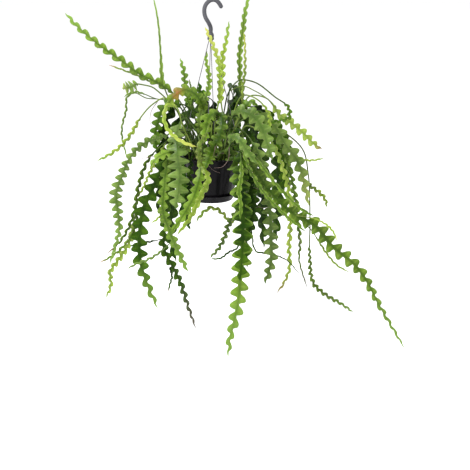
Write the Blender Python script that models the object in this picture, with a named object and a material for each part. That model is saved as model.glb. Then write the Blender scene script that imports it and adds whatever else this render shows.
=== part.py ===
"""A fishbone cactus in a hanging pot: pot, saucer, soil, four wires, a hook and the leafy stems.

The hook's saddle, where it rests on a hanger, is the origin. +Z is up, +X is the viewer's right
and -Y faces the viewer. Lengths are in metres, except where a name says MM.
"""

import math
from dataclasses import dataclass

import bmesh
import bpy
import numpy as np

MM = 0.001

# Driving dimensions
RIM_WIDTH = 157 * MM
BASE_WIDTH = 106 * MM
POT_HEIGHT = 105 * MM
WALL = 1.6 * MM
SAUCER_WIDTH = 122 * MM
SAUCER_HEIGHT = 17 * MM
HANGER_DROP = 373 * MM
HOOK_ROD = 10 * MM
WIRE_WIDTH = 1.8 * MM
STALK_WIDTH = 3.4 * MM
RIB_THICKNESS = 3.6 * MM
GAP = 0.3 * MM

# The pot's rim, soil and saucer
FLANGE_REACH = 7.5 * MM
FLANGE_THICKNESS = 2.0 * MM
BAND_HEIGHT = 13 * MM
SOIL_BELOW_RIM = 16 * MM
RIM_Z = -HANGER_DROP
FLOOR_Z = RIM_Z - POT_HEIGHT
SOIL_Z = RIM_Z - SOIL_BELOW_RIM
MOUTH_RADIUS = RIM_WIDTH / 2 - FLANGE_REACH - WALL
ROOT_RADIUS = MOUTH_RADIUS - 13 * MM
STALK_SUNK = 9 * MM
DRAIN_HOLES = 4
AROUND = 22

# The hanger
WIRES = 4
WIRE_TURN = math.radians(-6)
WIRE_EYE_RADIUS = RIM_WIDTH / 2 - 3.6 * MM
KNOB_TOP = -76 * MM
KNOB_HEIGHT = 15 * MM
KNOB_RADIUS = 8 * MM
SOCKET_RADIUS = 4.2 * MM

# The direction the photograph is taken in, and the size of one of its pixels at the pot's axis
SIGHT_TILT = math.radians(15)
SIGHT_RANGE = 3.5
PIXEL = 2.5 * MM
PHOTO_CENTRE = (235, 235)
SADDLE_PIXEL = (210.5, 2)

# Stems: the spacing of the points along them, and how far straight pieces may leave a curve
SAMPLE = 7 * MM
FINE_SAMPLE = 2 * MM
STALK_STEP = 70 * MM
STALK_BOW = 1.3 * MM

# How the stems are kept apart, and clear of the pot
CLEAR = 0.9 * MM
PUSHES = 260
PUSH_SHARE = 0.5
PUSH_GAIN = 1.2
MOST_MOVE = 45 * MM
BLADE_TURN = 0.8
BRANCH_REACH = 42 * MM
PATCH_OFFSETS = (-0.67, 0, 0.67)
WIDE_HALF = 6 * MM

# Roots in the soil, and how the stalks rise from them and over the rim
ROOT_SPACING = 12.5 * MM
ROOT_SPREADS = 400
ROOT_SHARE = (0.62, 0.5)
ROOT_TURN = 2.4
RISE_LOW = 6 * MM
RISE_HIGH = 26 * MM
RISE_SHARE = 0.12
LOW_START = 34 * MM
OVER_RIM = 36 * MM
BESIDE_RIM = 5 * MM


@dataclass(frozen=True)
class Stem:
    """One leafy stem.

    seen: photo pixels (right, down) that it passes through, from its base to its tip
    near: how far it is in front of the pot's axis, in MM, spread evenly over those points
    wide: its width across a pair of lobes, in MM, spread evenly from its first lobe to its tip
    bare: the share of the seen points before its first lobe
    pitch: MM from one lobe to the next on the same side
    roll: degrees that its flat face is turned from the viewer
    on, share: the stem that it branches from, and how far along that stem
    rounded: whether its lobes have rounded outlines; the narrow and hidden stems have plain teeth
    tone: which of the plant's greens it has
    """

    name: str
    seen: tuple
    near: tuple
    wide: tuple
    bare: float = 0.15
    pitch: float = 26
    roll: float = 0
    on: str = ""
    share: float = 0
    rounded: bool = False
    tone: str = "green"


TONES = {
    "dark": (0.03, 0.09, 0.02),
    "green": (0.10, 0.24, 0.04),
    "sage": (0.17, 0.29, 0.11),
    "lime": (0.33, 0.47, 0.09),
}

UPPER_STEMS = (
    Stem(
        "upper_left_arm",
        ((186, 112), (175, 95), (155, 81), (140, 74), (122, 61), (105, 49), (87, 35), (74, 23), (65, 13)),
        (10, -20, -40, -50),
        (22, 27, 24, 20, 12),
        pitch=27,
        roll=28,
    ),
    Stem(
        "upper_left_shoot",
        ((157, 83), (147, 80), (138, 76), (123, 70), (109, 65)),
        (-40, -58, -66),
        (8, 8, 6),
        0.1,
        21,
        30,
        "upper_left_arm",
        0.36,
        tone="lime",
    ),
    Stem(
        "tall_rod_left",
        (
            (188, 120),
            (176, 110),
            (166, 92),
            (162, 78),
            (161, 60),
            (160, 45),
            (159, 30),
            (157, 15),
            (153, -4),
        ),
        (-30, -80, -95),
        (16, 14, 8, 8, 7, 6),
        0.3,
        24,
        40,
        tone="dark",
    ),
    Stem(
        "starburst_left",
        ((186, 122), (175, 108), (160, 93), (152, 87), (144, 85), (137, 84), (130, 87), (122, 88)),
        (20, 30, 45, 100),
        (10, 26, 26, 16),
        0.72,
        16,
        tone="sage",
    ),
    Stem(
        "second_arch_left",
        ((165, 100), (157, 99), (144, 94), (137, 92), (130, 93), (124, 97)),
        (25, 20, 20),
        (6, 9, 6),
        0.6,
        14,
        20,
        "starburst_left",
        0.46,
        tone="sage",
    ),
    Stem(
        "pale_hanging_left",
        ((146, 98), (134, 93), (128, 96), (126, 111), (122, 127), (122, 137), (125, 150), (127, 158)),
        (5, -10, -15),
        (8, 9, 8, 5),
        0.25,
        19,
        35,
        "second_arch_left",
        0.4,
        tone="sage",
    ),
    Stem(
        "thin_arch_left",
        (
            (182, 122),
            (172, 104),
            (165, 98),
            (153, 104),
            (141, 117),
            (131, 134),
            (122, 145),
            (112, 153),
            (97, 161),
        ),
        (30, 50, 60, 60),
        (9, 11, 10, 6),
        0.5,
        20,
        20,
        tone="lime",
    ),
    Stem(
        "side_blade_left",
        ((186, 120), (178, 105), (170, 103), (161, 112), (158, 122), (155, 135), (157, 151)),
        (40, 62, 52),
        (22, 30, 28, 20),
        0.2,
        19,
        tone="dark",
    ),
    Stem(
        "lime_curl_left",
        ((182, 124), (176, 107), (168, 105), (164, 116), (167, 128), (174, 136), (185, 143), (197, 147)),
        (92, 130, 146),
        (9, 11, 11, 8),
        0.2,
        19,
        15,
        tone="lime",
    ),
    Stem(
        "upright_left",
        ((194, 115), (188, 100), (185, 85), (184, 72), (180, 58)),
        (20, 10, 0),
        (16, 18, 16, 8),
        0.15,
        17,
        25,
        tone="dark",
    ),
    Stem(
        "redbrown_shoot",
        ((192, 98), (191, 88), (189, 79)),
        (22, 30),
        (7, 5),
        0.3,
        12,
        0,
        "upright_left",
        0.5,
    ),
    Stem(
        "rust_blade",
        ((206, 125), (201, 102), (192, 92), (184, 90), (176, 94), (170, 101), (167, 111)),
        (45, 75, 85),
        (22, 28, 28, 18),
        0.15,
        22,
    ),
    Stem(
        "dark_toothed_crown",
        ((201, 104), (200, 93), (199, 82)),
        (20, 5),
        (18, 21, 12),
        0.1,
        18,
        0,
        "rust_blade",
        0.35,
        tone="dark",
    ),
    Stem(
        "short_upright",
        ((199, 122), (204, 103), (209, 85), (208, 70), (206, 60), (207, 51)),
        (24, 50, 60, 52),
        (17, 23, 15, 8),
        0.2,
        16,
        35,
        tone="green",
    ),
    Stem(
        "yellow_at_hook",
        ((216, 115), (220, 95), (220, 80), (218, 60), (213, 45), (205, 27)),
        (30, 40, 32),
        (12, 14, 13, 8),
        0.12,
        18,
        28,
        tone="lime",
    ),
    Stem(
        "lime_upright",
        ((223, 118), (221, 100), (222, 75), (223, 55), (226, 42), (229, 21)),
        (0, -12, -14),
        (15, 20, 15, 8),
        0.15,
        20,
        38,
        tone="lime",
    ),
    Stem(
        "tall_right",
        ((236, 125), (241, 110), (240, 80), (240, 50), (243, 30), (245, 12), (250, -6)),
        (-24, -30, -30),
        (12, 16, 18, 16, 9),
        0.25,
        19,
        tone="dark",
        roll=30,
    ),
    Stem(
        "yellow_tall_right",
        ((236, 124), (242, 108), (243, 90), (245, 70), (245, 55), (245, 45), (244, 33)),
        (40, 40, 36),
        (9, 11, 10, 6),
        0.2,
        17,
        -35,
        tone="lime",
    ),
)

RIGHT_STEMS = (
    Stem(
        "high_arc_right",
        (
            (224, 112),
            (230, 90),
            (240, 80),
            (251, 81),
            (275, 97),
            (289, 109),
            (289, 117),
            (278, 121),
            (267, 123),
        ),
        (10, 10, 20, 30),
        (8, 14, 12, 7),
        0.68,
        14,
        tone="dark",
    ),
    Stem(
        "middle_arc_right",
        ((243, 86), (255, 91), (265, 97), (273, 104), (279, 115), (281, 124)),
        (-16, -60, -70),
        (6, 9, 6),
        0.7,
        13,
        0,
        "high_arc_right",
        0.42,
        tone="lime",
    ),
    Stem(
        "lower_arc_right",
        ((232, 118), (245, 95), (253, 97), (265, 107), (270, 118), (268, 128), (261, 134)),
        (30, 50, 60),
        (6, 12, 8),
        0.55,
        15,
        tone="lime",
    ),
    Stem(
        "yellow_lobed_right",
        ((240, 112), (250, 96), (266, 98), (280, 115), (290, 122), (303, 133), (314, 144), (322, 149)),
        (-20, -60, -80),
        (16, 24, 26, 14),
        0.4,
        21,
        tone="lime",
        roll=25,
    ),
    Stem(
        "light_edge_right",
        ((240, 122), (258, 114), (272, 123), (286, 145), (298, 162), (304, 182), (309, 206)),
        (-14, -34, -40),
        (24, 36, 38, 30, 12),
        0.12,
        28,
        tone="sage",
        roll=-22,
    ),
    Stem(
        "wavy_shoot_right",
        ((297, 156), (306, 160), (315, 160), (324, 158)),
        (-54, -70),
        (8, 9, 6),
        0.1,
        16,
        20,
        "light_edge_right",
        0.62,
        tone="lime",
    ),
    Stem(
        "side_shoot_right",
        ((312, 187), (320, 193), (325, 199), (327, 208)),
        (-44, -40),
        (10, 14, 8),
        0.1,
        17,
        0,
        "light_edge_right",
        0.82,
        tone="lime",
    ),
    Stem(
        "dark_mass_right",
        ((236, 118), (260, 118), (276, 130), (285, 155), (286, 175), (281, 194)),
        (-60, -100, -105),
        (34, 44, 44, 30),
        0.1,
        29,
        tone="dark",
        roll=15,
    ),
    Stem(
        "sage_crown_right",
        ((230, 124), (236, 112), (248, 113), (260, 124), (267, 142), (272, 160)),
        (56, 90, 92),
        (28, 38, 38, 24),
        0.12,
        25,
        -12,
        tone="sage",
    ),
    Stem(
        "green_crown_right",
        ((241, 112), (246, 105), (252, 102), (258, 106)),
        (66, 74),
        (16, 24, 14),
        0.06,
        17,
        20,
        "sage_crown_right",
        0.42,
        tone="green",
    ),
    Stem(
        "light_curl_right",
        ((229, 147), (232, 137), (239, 139), (247, 151), (257, 164)),
        (110, 150, 166),
        (14, 22, 23, 12),
        0.15,
        22,
        tone="sage",
    ),
    Stem(
        "long_right_arm",
        (
            (234, 135),
            (241, 147),
            (255, 170),
            (275, 197),
            (297, 216),
            (313, 224),
            (333, 247),
            (355, 265),
            (368, 283),
            (378, 303),
            (392, 327),
            (405, 349),
        ),
        (72, 106, 112, 105, 95, 90),
        (24, 36, 40, 40, 34, 22, 12, 6),
        0.08,
        30,
        rounded=True,
    ),
    Stem(
        "thin_arc_right",
        ((318, 220), (328, 226), (334, 233), (337, 241)),
        (118, 125),
        (5, 8, 5),
        0.4,
        13,
        0,
        "long_right_arm",
        0.44,
        tone="lime",
    ),
    Stem(
        "lower_arc_on_arm",
        ((312, 231), (318, 240), (327, 254), (338, 266), (349, 272)),
        (98, 84, 78),
        (5, 8, 7, 5),
        0.4,
        18,
        0,
        "long_right_arm",
        0.42,
        tone="lime",
    ),
    Stem(
        "upper_band_right",
        ((233, 134), (246, 147), (260, 164), (274, 182), (288, 197), (303, 210), (314, 216)),
        (126, 156, 158, 148),
        (9, 13, 13, 9),
        0.1,
        24,
        35,
        tone="green",
    ),
    Stem(
        "lower_band_right",
        ((242, 150), (250, 170), (260, 187), (274, 204), (290, 219), (306, 232)),
        (128, 142, 132),
        (9, 13, 12, 7),
        0.1,
        24,
        -30,
        "upper_band_right",
        0.3,
        tone="green",
    ),
    Stem(
        "very_dark_right",
        ((244, 132), (249, 160), (250, 185), (254, 208), (252, 221), (248, 236)),
        (52, 86, 84),
        (20, 30, 32, 20),
        0.12,
        23,
        tone="dark",
    ),
    Stem(
        "thin_dark_right",
        ((242, 140), (254, 158), (252, 200), (252, 236), (256, 251), (270, 254), (285, 259), (299, 273)),
        (44, 40, 34, 28),
        (8, 8, 8, 5),
        0.3,
        22,
        45,
        tone="dark",
    ),
    Stem(
        "sage_right",
        ((240, 130), (256, 148), (265, 180), (270, 212), (271, 240), (271, 262), (265, 284)),
        (20, 58, 60, 52),
        (26, 36, 38, 36, 18),
        0.12,
        27,
        rounded=True,
        tone="sage",
    ),
    Stem(
        "lime_right",
        (
            (246, 126),
            (268, 138),
            (284, 172),
            (290, 205),
            (290, 232),
            (289, 250),
            (290, 266),
            (285, 281),
            (277, 293),
        ),
        (0, 14, 10, 10),
        (14, 20, 20, 20, 16, 8),
        0.15,
        21,
        tone="lime",
        roll=38,
    ),
    Stem(
        "short_right",
        (
            (248, 124),
            (274, 134),
            (290, 172),
            (296, 205),
            (299, 230),
            (300, 245),
            (299, 258),
            (303, 275),
            (307, 287),
        ),
        (-40, -66, -64, -60),
        (16, 18, 20, 16, 8, 5),
        0.2,
        21,
        roll=-32,
    ),
    Stem(
        "long_rod_right",
        (
            (240, 118),
            (285, 133),
            (303, 150),
            (308, 172),
            (310, 220),
            (310, 260),
            (314, 284),
            (326, 295),
            (340, 303),
            (353, 312),
        ),
        (-50, -130, -140, -140),
        (8, 12, 12, 7),
        0.66,
        17,
        40,
        tone="dark",
    ),
)

LEFT_STEMS = (
    Stem(
        "scalloped_left",
        (
            (191, 130),
            (178, 130),
            (163, 137),
            (149, 141),
            (136, 150),
            (127, 163),
            (121, 178),
            (116, 193),
            (118, 213),
            (119, 230),
            (115, 247),
            (110, 264),
        ),
        (62, 92, 100, 102, 104),
        (15, 18, 16, 22, 26, 18, 9, 6),
        0.15,
        19,
        tone="sage",
        roll=18,
    ),
    Stem(
        "sideways_left",
        ((194, 140), (188, 148), (178, 152), (167, 153), (157, 158), (150, 167)),
        (34, 104, 116),
        (18, 26, 25, 16),
        0.12,
        21,
        -15,
    ),
    Stem(
        "lime_narrow_left",
        ((184, 130), (170, 138), (158, 158), (150, 172), (142, 190), (135, 200)),
        (-10, -25, -30),
        (9, 11, 10, 6),
        0.3,
        15,
        15,
        tone="lime",
    ),
    Stem(
        "big_dark_left",
        (
            (182, 138),
            (172, 143),
            (164, 162),
            (152, 190),
            (143, 210),
            (140, 230),
            (139, 250),
            (143, 272),
            (150, 291),
            (158, 309),
        ),
        (38, 60, 60, 50, 42),
        (30, 40, 43, 42, 38, 24, 9),
        0.14,
        31,
        rounded=True,
        tone="dark",
    ),
    Stem(
        "front_light",
        ((210, 123), (206, 134), (199, 147), (200, 162), (208, 178), (200, 198), (190, 218), (177, 235)),
        (104, 152, 164, 164),
        (11, 15, 16, 14, 8),
        0.1,
        22,
        10,
        tone="lime",
    ),
    Stem(
        "wide_sage_left",
        ((193, 126), (184, 118), (177, 130), (177, 150), (179, 172), (178, 192), (175, 209)),
        (62, 84, 96, 102),
        (30, 46, 52, 50, 32),
        0.24,
        23,
        tone="sage",
    ),
    Stem(
        "front_broad",
        ((218, 128), (221, 115), (222, 123), (219, 137), (212, 150), (208, 160), (205, 169)),
        (48, 96, 108),
        (22, 32, 34, 24),
        0.1,
        24,
    ),
    Stem(
        "light_crown_middle",
        ((216, 113), (209, 117), (206, 129), (205, 143)),
        (70, 88, 94),
        (18, 28, 27, 14),
        0.08,
        21,
        10,
        "front_broad",
        0.42,
        tone="green",
    ),
    Stem(
        "lower_front_left",
        ((201, 140), (202, 153), (200, 175), (194, 196), (184, 214), (171, 233)),
        (92, 120, 136, 138),
        (18, 26, 28, 22, 10),
        0.2,
        23,
    ),
    Stem(
        "light_left_low",
        (
            (188, 131),
            (173, 142),
            (167, 165),
            (164, 190),
            (163, 211),
            (169, 230),
            (176, 247),
            (182, 260),
            (188, 272),
        ),
        (64, 96, 100, 92, 84),
        (18, 25, 26, 24, 12),
        0.15,
        23,
    ),
    Stem(
        "lime_side_tip",
        ((160, 216), (156, 220), (151, 223)),
        (92, 98),
        (9, 6),
        0.1,
        13,
        0,
        "light_left_low",
        0.66,
        tone="lime",
    ),
    Stem(
        "pale_crossing_left",
        ((165, 248), (156, 255), (147, 260), (138, 263), (127, 269)),
        (88, 98, 98),
        (8, 10, 6),
        0.25,
        16,
        15,
        "light_left_low",
        0.82,
        tone="sage",
    ),
    Stem(
        "grey_behind_left",
        (
            (190, 128),
            (173, 136),
            (170, 165),
            (167, 200),
            (165, 228),
            (164, 248),
            (172, 265),
            (181, 284),
            (187, 303),
            (196, 329),
        ),
        (-20, -40, -34, -28, -20),
        (22, 28, 28, 26, 18, 6),
        0.15,
        25,
        tone="dark",
        roll=28,
    ),
    Stem(
        "thin_crossing_left",
        ((158, 240), (148, 242), (138, 243), (127, 248)),
        (-30, -22),
        (7, 8, 5),
        0.2,
        16,
        20,
        "grey_behind_left",
        0.62,
        tone="dark",
    ),
    Stem(
        "brown_tail_left",
        ((170, 268), (172, 276), (170, 284), (168, 292)),
        (-14, -10),
        (7, 8, 5),
        0.1,
        14,
        0,
        "grey_behind_left",
        0.74,
        tone="dark",
    ),
    Stem(
        "brown_tip_left",
        ((186, 132), (166, 142), (148, 160), (139, 185), (134, 212), (127, 231), (118, 244), (107, 254)),
        (14, 10, 16, 20),
        (12, 16, 15, 12, 6),
        0.25,
        22,
        35,
    ),
    Stem(
        "pink_tip_left",
        ((136, 224), (130, 238), (122, 248), (112, 256), (99, 263)),
        (32, 42, 42),
        (10, 13, 10, 5),
        0.15,
        20,
        0,
        "brown_tip_left",
        0.66,
    ),
    Stem(
        "lime_split_left",
        ((132, 233), (128, 245), (119, 259), (110, 273), (111, 284), (106, 298)),
        (8, -8, -14),
        (10, 14, 14, 12, 7),
        0.12,
        21,
        -30,
        "brown_tip_left",
        0.68,
        tone="lime",
    ),
    Stem(
        "dark_toothed_left",
        ((200, 142), (193, 153), (190, 175), (188, 200), (187, 215), (190, 230)),
        (56, 84, 88, 88),
        (12, 18, 19, 12),
        0.3,
        18,
        tone="dark",
    ),
    Stem(
        "curl_below_pot",
        (
            (228, 116),
            (240, 128),
            (243, 165),
            (239, 205),
            (231, 222),
            (222, 213),
            (213, 208),
            (206, 210),
            (201, 215),
            (196, 222),
        ),
        (-50, -96, -90, -60, -40),
        (7, 8, 9, 6),
        0.62,
        21,
        10,
        tone="lime",
    ),
    Stem(
        "round_lobed_low",
        ((232, 128), (248, 150), (247, 185), (239, 210), (230, 222), (225, 236), (219, 248), (210, 258)),
        (22, 34, 28, 20),
        (14, 20, 21, 18, 10),
        0.3,
        16,
        tone="sage",
        roll=28,
    ),
    Stem(
        "longest_centre",
        (
            (229, 130),
            (230, 148),
            (237, 168),
            (241, 200),
            (243, 230),
            (242, 260),
            (240, 282),
            (238, 302),
            (234, 322),
            (230, 338),
            (228, 358),
        ),
        (70, 106, 120, 130, 138, 140),
        (24, 38, 43, 43, 42, 38, 24, 8),
        0.08,
        31,
        rounded=True,
    ),
    Stem(
        "thin_dark_low",
        ((236, 249), (229, 252), (221, 258), (210, 259)),
        (130, 118),
        (6, 7, 5),
        0.3,
        13,
        0,
        "longest_centre",
        0.52,
        tone="dark",
    ),
    Stem(
        "dark_over_centre",
        ((238, 132), (241, 155), (241, 185), (243, 205), (243, 228), (242, 255), (240, 281)),
        (96, 140, 154, 162),
        (20, 36, 42, 40, 26),
        0.1,
        30,
        rounded=True,
        tone="dark",
    ),
    Stem(
        "light_over_centre",
        ((241, 178), (239, 192), (241, 206), (240, 220)),
        (158, 170),
        (9, 13, 8),
        0.1,
        19,
        0,
        "dark_over_centre",
        0.36,
        tone="green",
    ),
)

BACK_STEMS = (
    Stem(
        "back_left_low",
        ((196, 114), (188, 106), (179, 122), (175, 160), (172, 200), (171, 235), (176, 262)),
        (-70, -112, -134, -144),
        (38, 46, 44, 22),
        0.15,
        44,
        tone="dark",
        roll=30,
    ),
    Stem(
        "back_left_wide",
        ((182, 118), (176, 150), (182, 190), (183, 222)),
        (-110, -170, -185),
        (34, 48, 26),
        0.15,
        44,
        40,
        "back_left_low",
        0.3,
        tone="dark",
    ),
    Stem(
        "back_left_outer",
        ((198, 114), (178, 104), (165, 124), (163, 160), (161, 190), (158, 214)),
        (-30, -80, -96),
        (34, 44, 40, 20),
        0.15,
        42,
        40,
        tone="dark",
    ),
    Stem(
        "back_middle_left",
        ((206, 110), (197, 94), (189, 112), (187, 150), (185, 184), (184, 214)),
        (-44, -84, -106, -122),
        (36, 46, 44, 22),
        0.15,
        42,
        tone="dark",
        roll=-30,
    ),
    Stem(
        "back_middle",
        ((207, 110), (204, 96), (202, 112), (202, 150), (203, 184)),
        (-80, -160, -190, -200),
        (34, 48, 30),
        0.15,
        42,
        -20,
        tone="dark",
    ),
    Stem(
        "back_middle_right",
        ((212, 100), (213, 120), (212, 150), (214, 186)),
        (-150, -170, -180),
        (32, 48, 28),
        0.15,
        42,
        20,
        "back_middle",
        0.42,
        tone="dark",
    ),
    Stem(
        "back_right_low",
        ((228, 110), (238, 98), (247, 130), (247, 180), (246, 225), (247, 268)),
        (-60, -110, -130, -140),
        (36, 46, 44, 24),
        0.15,
        44,
        tone="dark",
        roll=30,
    ),
    Stem(
        "back_right_wide",
        ((250, 116), (260, 145), (263, 185), (262, 222), (264, 248)),
        (-140, -190, -200),
        (32, 44, 42, 22),
        0.15,
        44,
        -35,
        "back_right_low",
        0.28,
        tone="dark",
    ),
    Stem(
        "back_right_outer",
        ((232, 112), (258, 108), (274, 130), (278, 170), (277, 208), (276, 242)),
        (-70, -140, -165, -170),
        (36, 46, 42, 22),
        0.15,
        42,
        tone="dark",
        roll=-35,
    ),
    Stem(
        "back_far",
        ((228, 108), (231, 86), (240, 98), (252, 132), (256, 172), (254, 208)),
        (-90, -190, -220, -230),
        (34, 46, 44, 22),
        0.15,
        44,
        40,
        tone="dark",
    ),
    Stem(
        "back_far_middle",
        ((233, 96), (232, 120), (233, 152), (234, 188)),
        (-150, -176, -188),
        (34, 48, 28),
        0.12,
        44,
        -18,
        "back_far",
        0.34,
        tone="dark",
    ),
)

STEMS = UPPER_STEMS + RIGHT_STEMS + LEFT_STEMS + BACK_STEMS


# Seeing and placing points


def sight_frame():
    """The eye, the middle of the picture and the picture's up direction, for the saddle at the origin."""
    up = np.array((0, math.sin(SIGHT_TILT), math.cos(SIGHT_TILT)))
    ahead = np.array((0, math.cos(SIGHT_TILT), -math.sin(SIGHT_TILT)))
    seen_above = (PHOTO_CENTRE[1] - SADDLE_PIXEL[1]) * PIXEL
    above = seen_above * SIGHT_RANGE / (SIGHT_RANGE * up[2] + seen_above * up[1])
    nearer = (SIGHT_RANGE - above * up[1]) / SIGHT_RANGE
    middle = np.array(((PHOTO_CENTRE[0] - SADDLE_PIXEL[0]) * PIXEL * nearer, 0, -above))
    return middle - ahead * SIGHT_RANGE, middle, up


EYE, MIDDLE, SIGHT_UP = sight_frame()
TOWARD_EYE = np.cross(SIGHT_UP, (-1, 0, 0))


def on_ray(right, up, near):
    """The points `near` in front of the axis, on the rays through these places of the picture plane."""
    flat = MIDDLE + np.outer(right, (1, 0, 0)) + np.outer(up, SIGHT_UP)
    along = (-np.asarray(near) - EYE[1]) / (flat[:, 1] - EYE[1])
    return EYE + (flat - EYE) * along[:, None]


def as_seen(points):
    """The picture-plane places (right, up) of points, and how far they are in front of the axis."""
    ray = points - EYE
    depth = -ray @ TOWARD_EYE
    scale = SIGHT_RANGE / depth
    return ray[:, 0] * scale, (ray @ SIGHT_UP) * scale, -points[:, 1]


def seen_points(stem):
    pixels = np.array(stem.seen, float)
    steps = np.linspace(0, 1, len(pixels))
    near = np.interp(steps, np.linspace(0, 1, len(stem.near)), stem.near) * MM
    right = (pixels[:, 0] - PHOTO_CENTRE[0]) * PIXEL
    up = (PHOTO_CENTRE[1] - pixels[:, 1]) * PIXEL
    return on_ray(right, up, near)


# Curves through points


def spans(points):
    return np.linalg.norm(np.diff(points, axis=0), axis=1)


def lengths(points):
    return np.concatenate(([0], np.cumsum(spans(points))))


def through(points, step):
    """A smooth curve through the points, as points about `step` apart."""
    span = np.maximum(spans(points), 1e-6)
    slope = np.diff(points, axis=0) / span[:, None]
    turn = np.empty_like(points)
    turn[0], turn[-1] = slope[0], slope[-1]
    before, after = span[:-1, None], span[1:, None]
    turn[1:-1] = (slope[1:] * before + slope[:-1] * after) / (before + after)
    dense = []
    for i, gap in enumerate(span):
        t = np.linspace(0, 1, 9)[:-1, None]
        dense.append(
            points[i] * (1 + 2 * t) * (1 - t) ** 2
            + turn[i] * gap * t * (1 - t) ** 2
            + points[i + 1] * t * t * (3 - 2 * t)
            - turn[i + 1] * gap * t * t * (1 - t)
        )
    dense = np.vstack((*dense, points[-1:]))
    count = max(4, round(lengths(dense)[-1] / step))
    return at_lengths(dense, np.linspace(0, lengths(dense)[-1], count + 1))


def at_lengths(points, places):
    along = lengths(points)
    return np.stack([np.interp(places, along, points[:, axis]) for axis in range(3)], axis=1)


def directions(points):
    ahead = np.gradient(points, axis=0)
    return ahead / np.linalg.norm(ahead, axis=1)[:, None]


def sides(points, roll):
    """The direction across the blade at each point: flat to the viewer, then rolled about the stem."""
    ahead = directions(points)
    across = np.cross(ahead, TOWARD_EYE)
    for i in range(1, len(across)):
        if np.linalg.norm(across[i]) < 0.35:
            across[i] = across[i - 1]
    kernel = np.ones(5) / 5
    for axis in range(3):
        padded = np.pad(across[:, axis], 2, mode="edge")
        across[:, axis] = np.convolve(padded, kernel, "valid")
    across -= ahead * np.sum(across * ahead, axis=1)[:, None]
    across /= np.linalg.norm(across, axis=1)[:, None]
    face = np.cross(across, ahead)
    turn = math.radians(roll)
    return across * math.cos(turn) + face * math.sin(turn)


# Where each stem goes


def spread_roots(wanted):
    """Root places in the soil, each moved as little as keeps it clear of the others and of the pot."""
    roots = np.array(wanted)
    for _ in range(ROOT_SPREADS):
        apart = roots[:, None] - roots[None]
        distance = np.linalg.norm(apart, axis=2) + np.eye(len(roots))
        push = np.clip(ROOT_SPACING - distance, 0, None)
        np.fill_diagonal(push, 0)
        roots = roots + 0.35 * np.sum(apart / distance[..., None] * push[..., None], axis=1)
        radius = np.linalg.norm(roots, axis=1)
        roots *= np.minimum(1, ROOT_RADIUS / radius)[:, None]
    return roots


def root_of(stem, number):
    place = seen_points(stem)[0][:2] * ROOT_SHARE
    return place + MM * np.array((math.cos(number * ROOT_TURN), math.sin(number * ROOT_TURN)))


def route_from_root(stem, root):
    """A trunk's points: up from its root, over the rim where it starts out beside the pot, and on."""
    seen = seen_points(stem)
    rise = root + (seen[0][:2] - root) * RISE_SHARE
    start = [(*root, SOIL_Z - STALK_SUNK), (*root, SOIL_Z + RISE_LOW), (*rise, SOIL_Z + RISE_HIGH)]
    reach = np.linalg.norm(seen[0][:2])
    if seen[0][2] <= RIM_Z + LOW_START and reach >= MOUTH_RADIUS:
        start.append((*(seen[0][:2] / reach * (MOUTH_RADIUS + 2 * MM)), RIM_Z + OVER_RIM))
    return np.vstack((start, seen))


def first_routes():
    """Each stem's curve before crowding, and how far along it the seen part starts."""
    trunks = [stem for stem in STEMS if not stem.on]
    roots = spread_roots([root_of(stem, i) for i, stem in enumerate(trunks)])
    routes, starts = {}, {}
    for stem, root in zip(trunks, roots):
        points = route_from_root(stem, root)
        routes[stem.name] = through(points, SAMPLE)
        starts[stem.name] = lengths(points)[-len(stem.seen)]
    for stem in STEMS:
        if stem.on:
            parent = routes[stem.on]
            base = parent[round(stem.share * (len(parent) - 1))]
            routes[stem.name] = through(np.vstack((base, seen_points(stem))), SAMPLE)
            starts[stem.name] = 0
    return routes, starts


def half_width(stem, share):
    """Half the blade's width at a share of its lobed part, before the lobes are cut."""
    return np.interp(share, np.linspace(0, 1, len(stem.wide)), stem.wide) * MM / 2


def lobed_from(stem, route, start):
    """How far along the route the first lobe is."""
    total = lengths(route)[-1]
    return start + (total - start) * stem.bare


def patches_of(stem, route, start, index):
    """Small patches over the blade: sample, picture place, depth offset, reach, thickness, distance along."""
    along = lengths(route)
    first = lobed_from(stem, route, start)
    share = np.clip((along - first) / (along[-1] - first), 0, 1)
    half = np.where(along < first - 4 * MM, STALK_WIDTH / 2, half_width(stem, share))
    across = sides(route, stem.roll)
    ahead = directions(route)
    steep = np.abs(ahead[:, 1]) / np.linalg.norm(ahead[:, [0, 2]], axis=1).clip(0.3)
    rows = []
    for offset in PATCH_OFFSETS:
        wide = half > WIDE_HALF
        keep = wide if offset else np.ones(len(route), bool)
        points = (route + across * (half * offset)[:, None])[keep]
        right, up, near = as_seen(points)
        narrow_reach = np.maximum(half, 1.6 * MM) + 2.4 * MM
        reach = np.where(wide, np.maximum(half * 0.36, 4.2 * MM), narrow_reach)[keep]
        thick = RIB_THICKNESS / 2 if not offset else RIB_THICKNESS / 3
        tilt = np.maximum(steep, np.abs(across[:, 1]) / np.linalg.norm(across[:, [0, 2]], axis=1).clip(0.3))
        depth = thick + (np.minimum(tilt[keep], 1.2) * reach * 0.75)
        samples = np.nonzero(keep)[0]
        rows.append(np.stack((samples, right, up, near + route[keep, 1], reach, depth, along[keep]), axis=1))
    rows = np.vstack(rows)
    return np.column_stack((np.full(len(rows), index), rows))


def fixed_patches(points, reach, depth, index):
    """Patches over a line that stays where it is."""
    right, up, _ = as_seen(points)
    count = len(points)
    rows = (
        np.full(count, index),
        np.arange(count),
        right,
        up,
        np.zeros(count),
        np.full(count, reach),
        np.full(count, depth),
        np.full(count, 1.0),
    )
    return np.stack(rows, axis=1)


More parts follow.
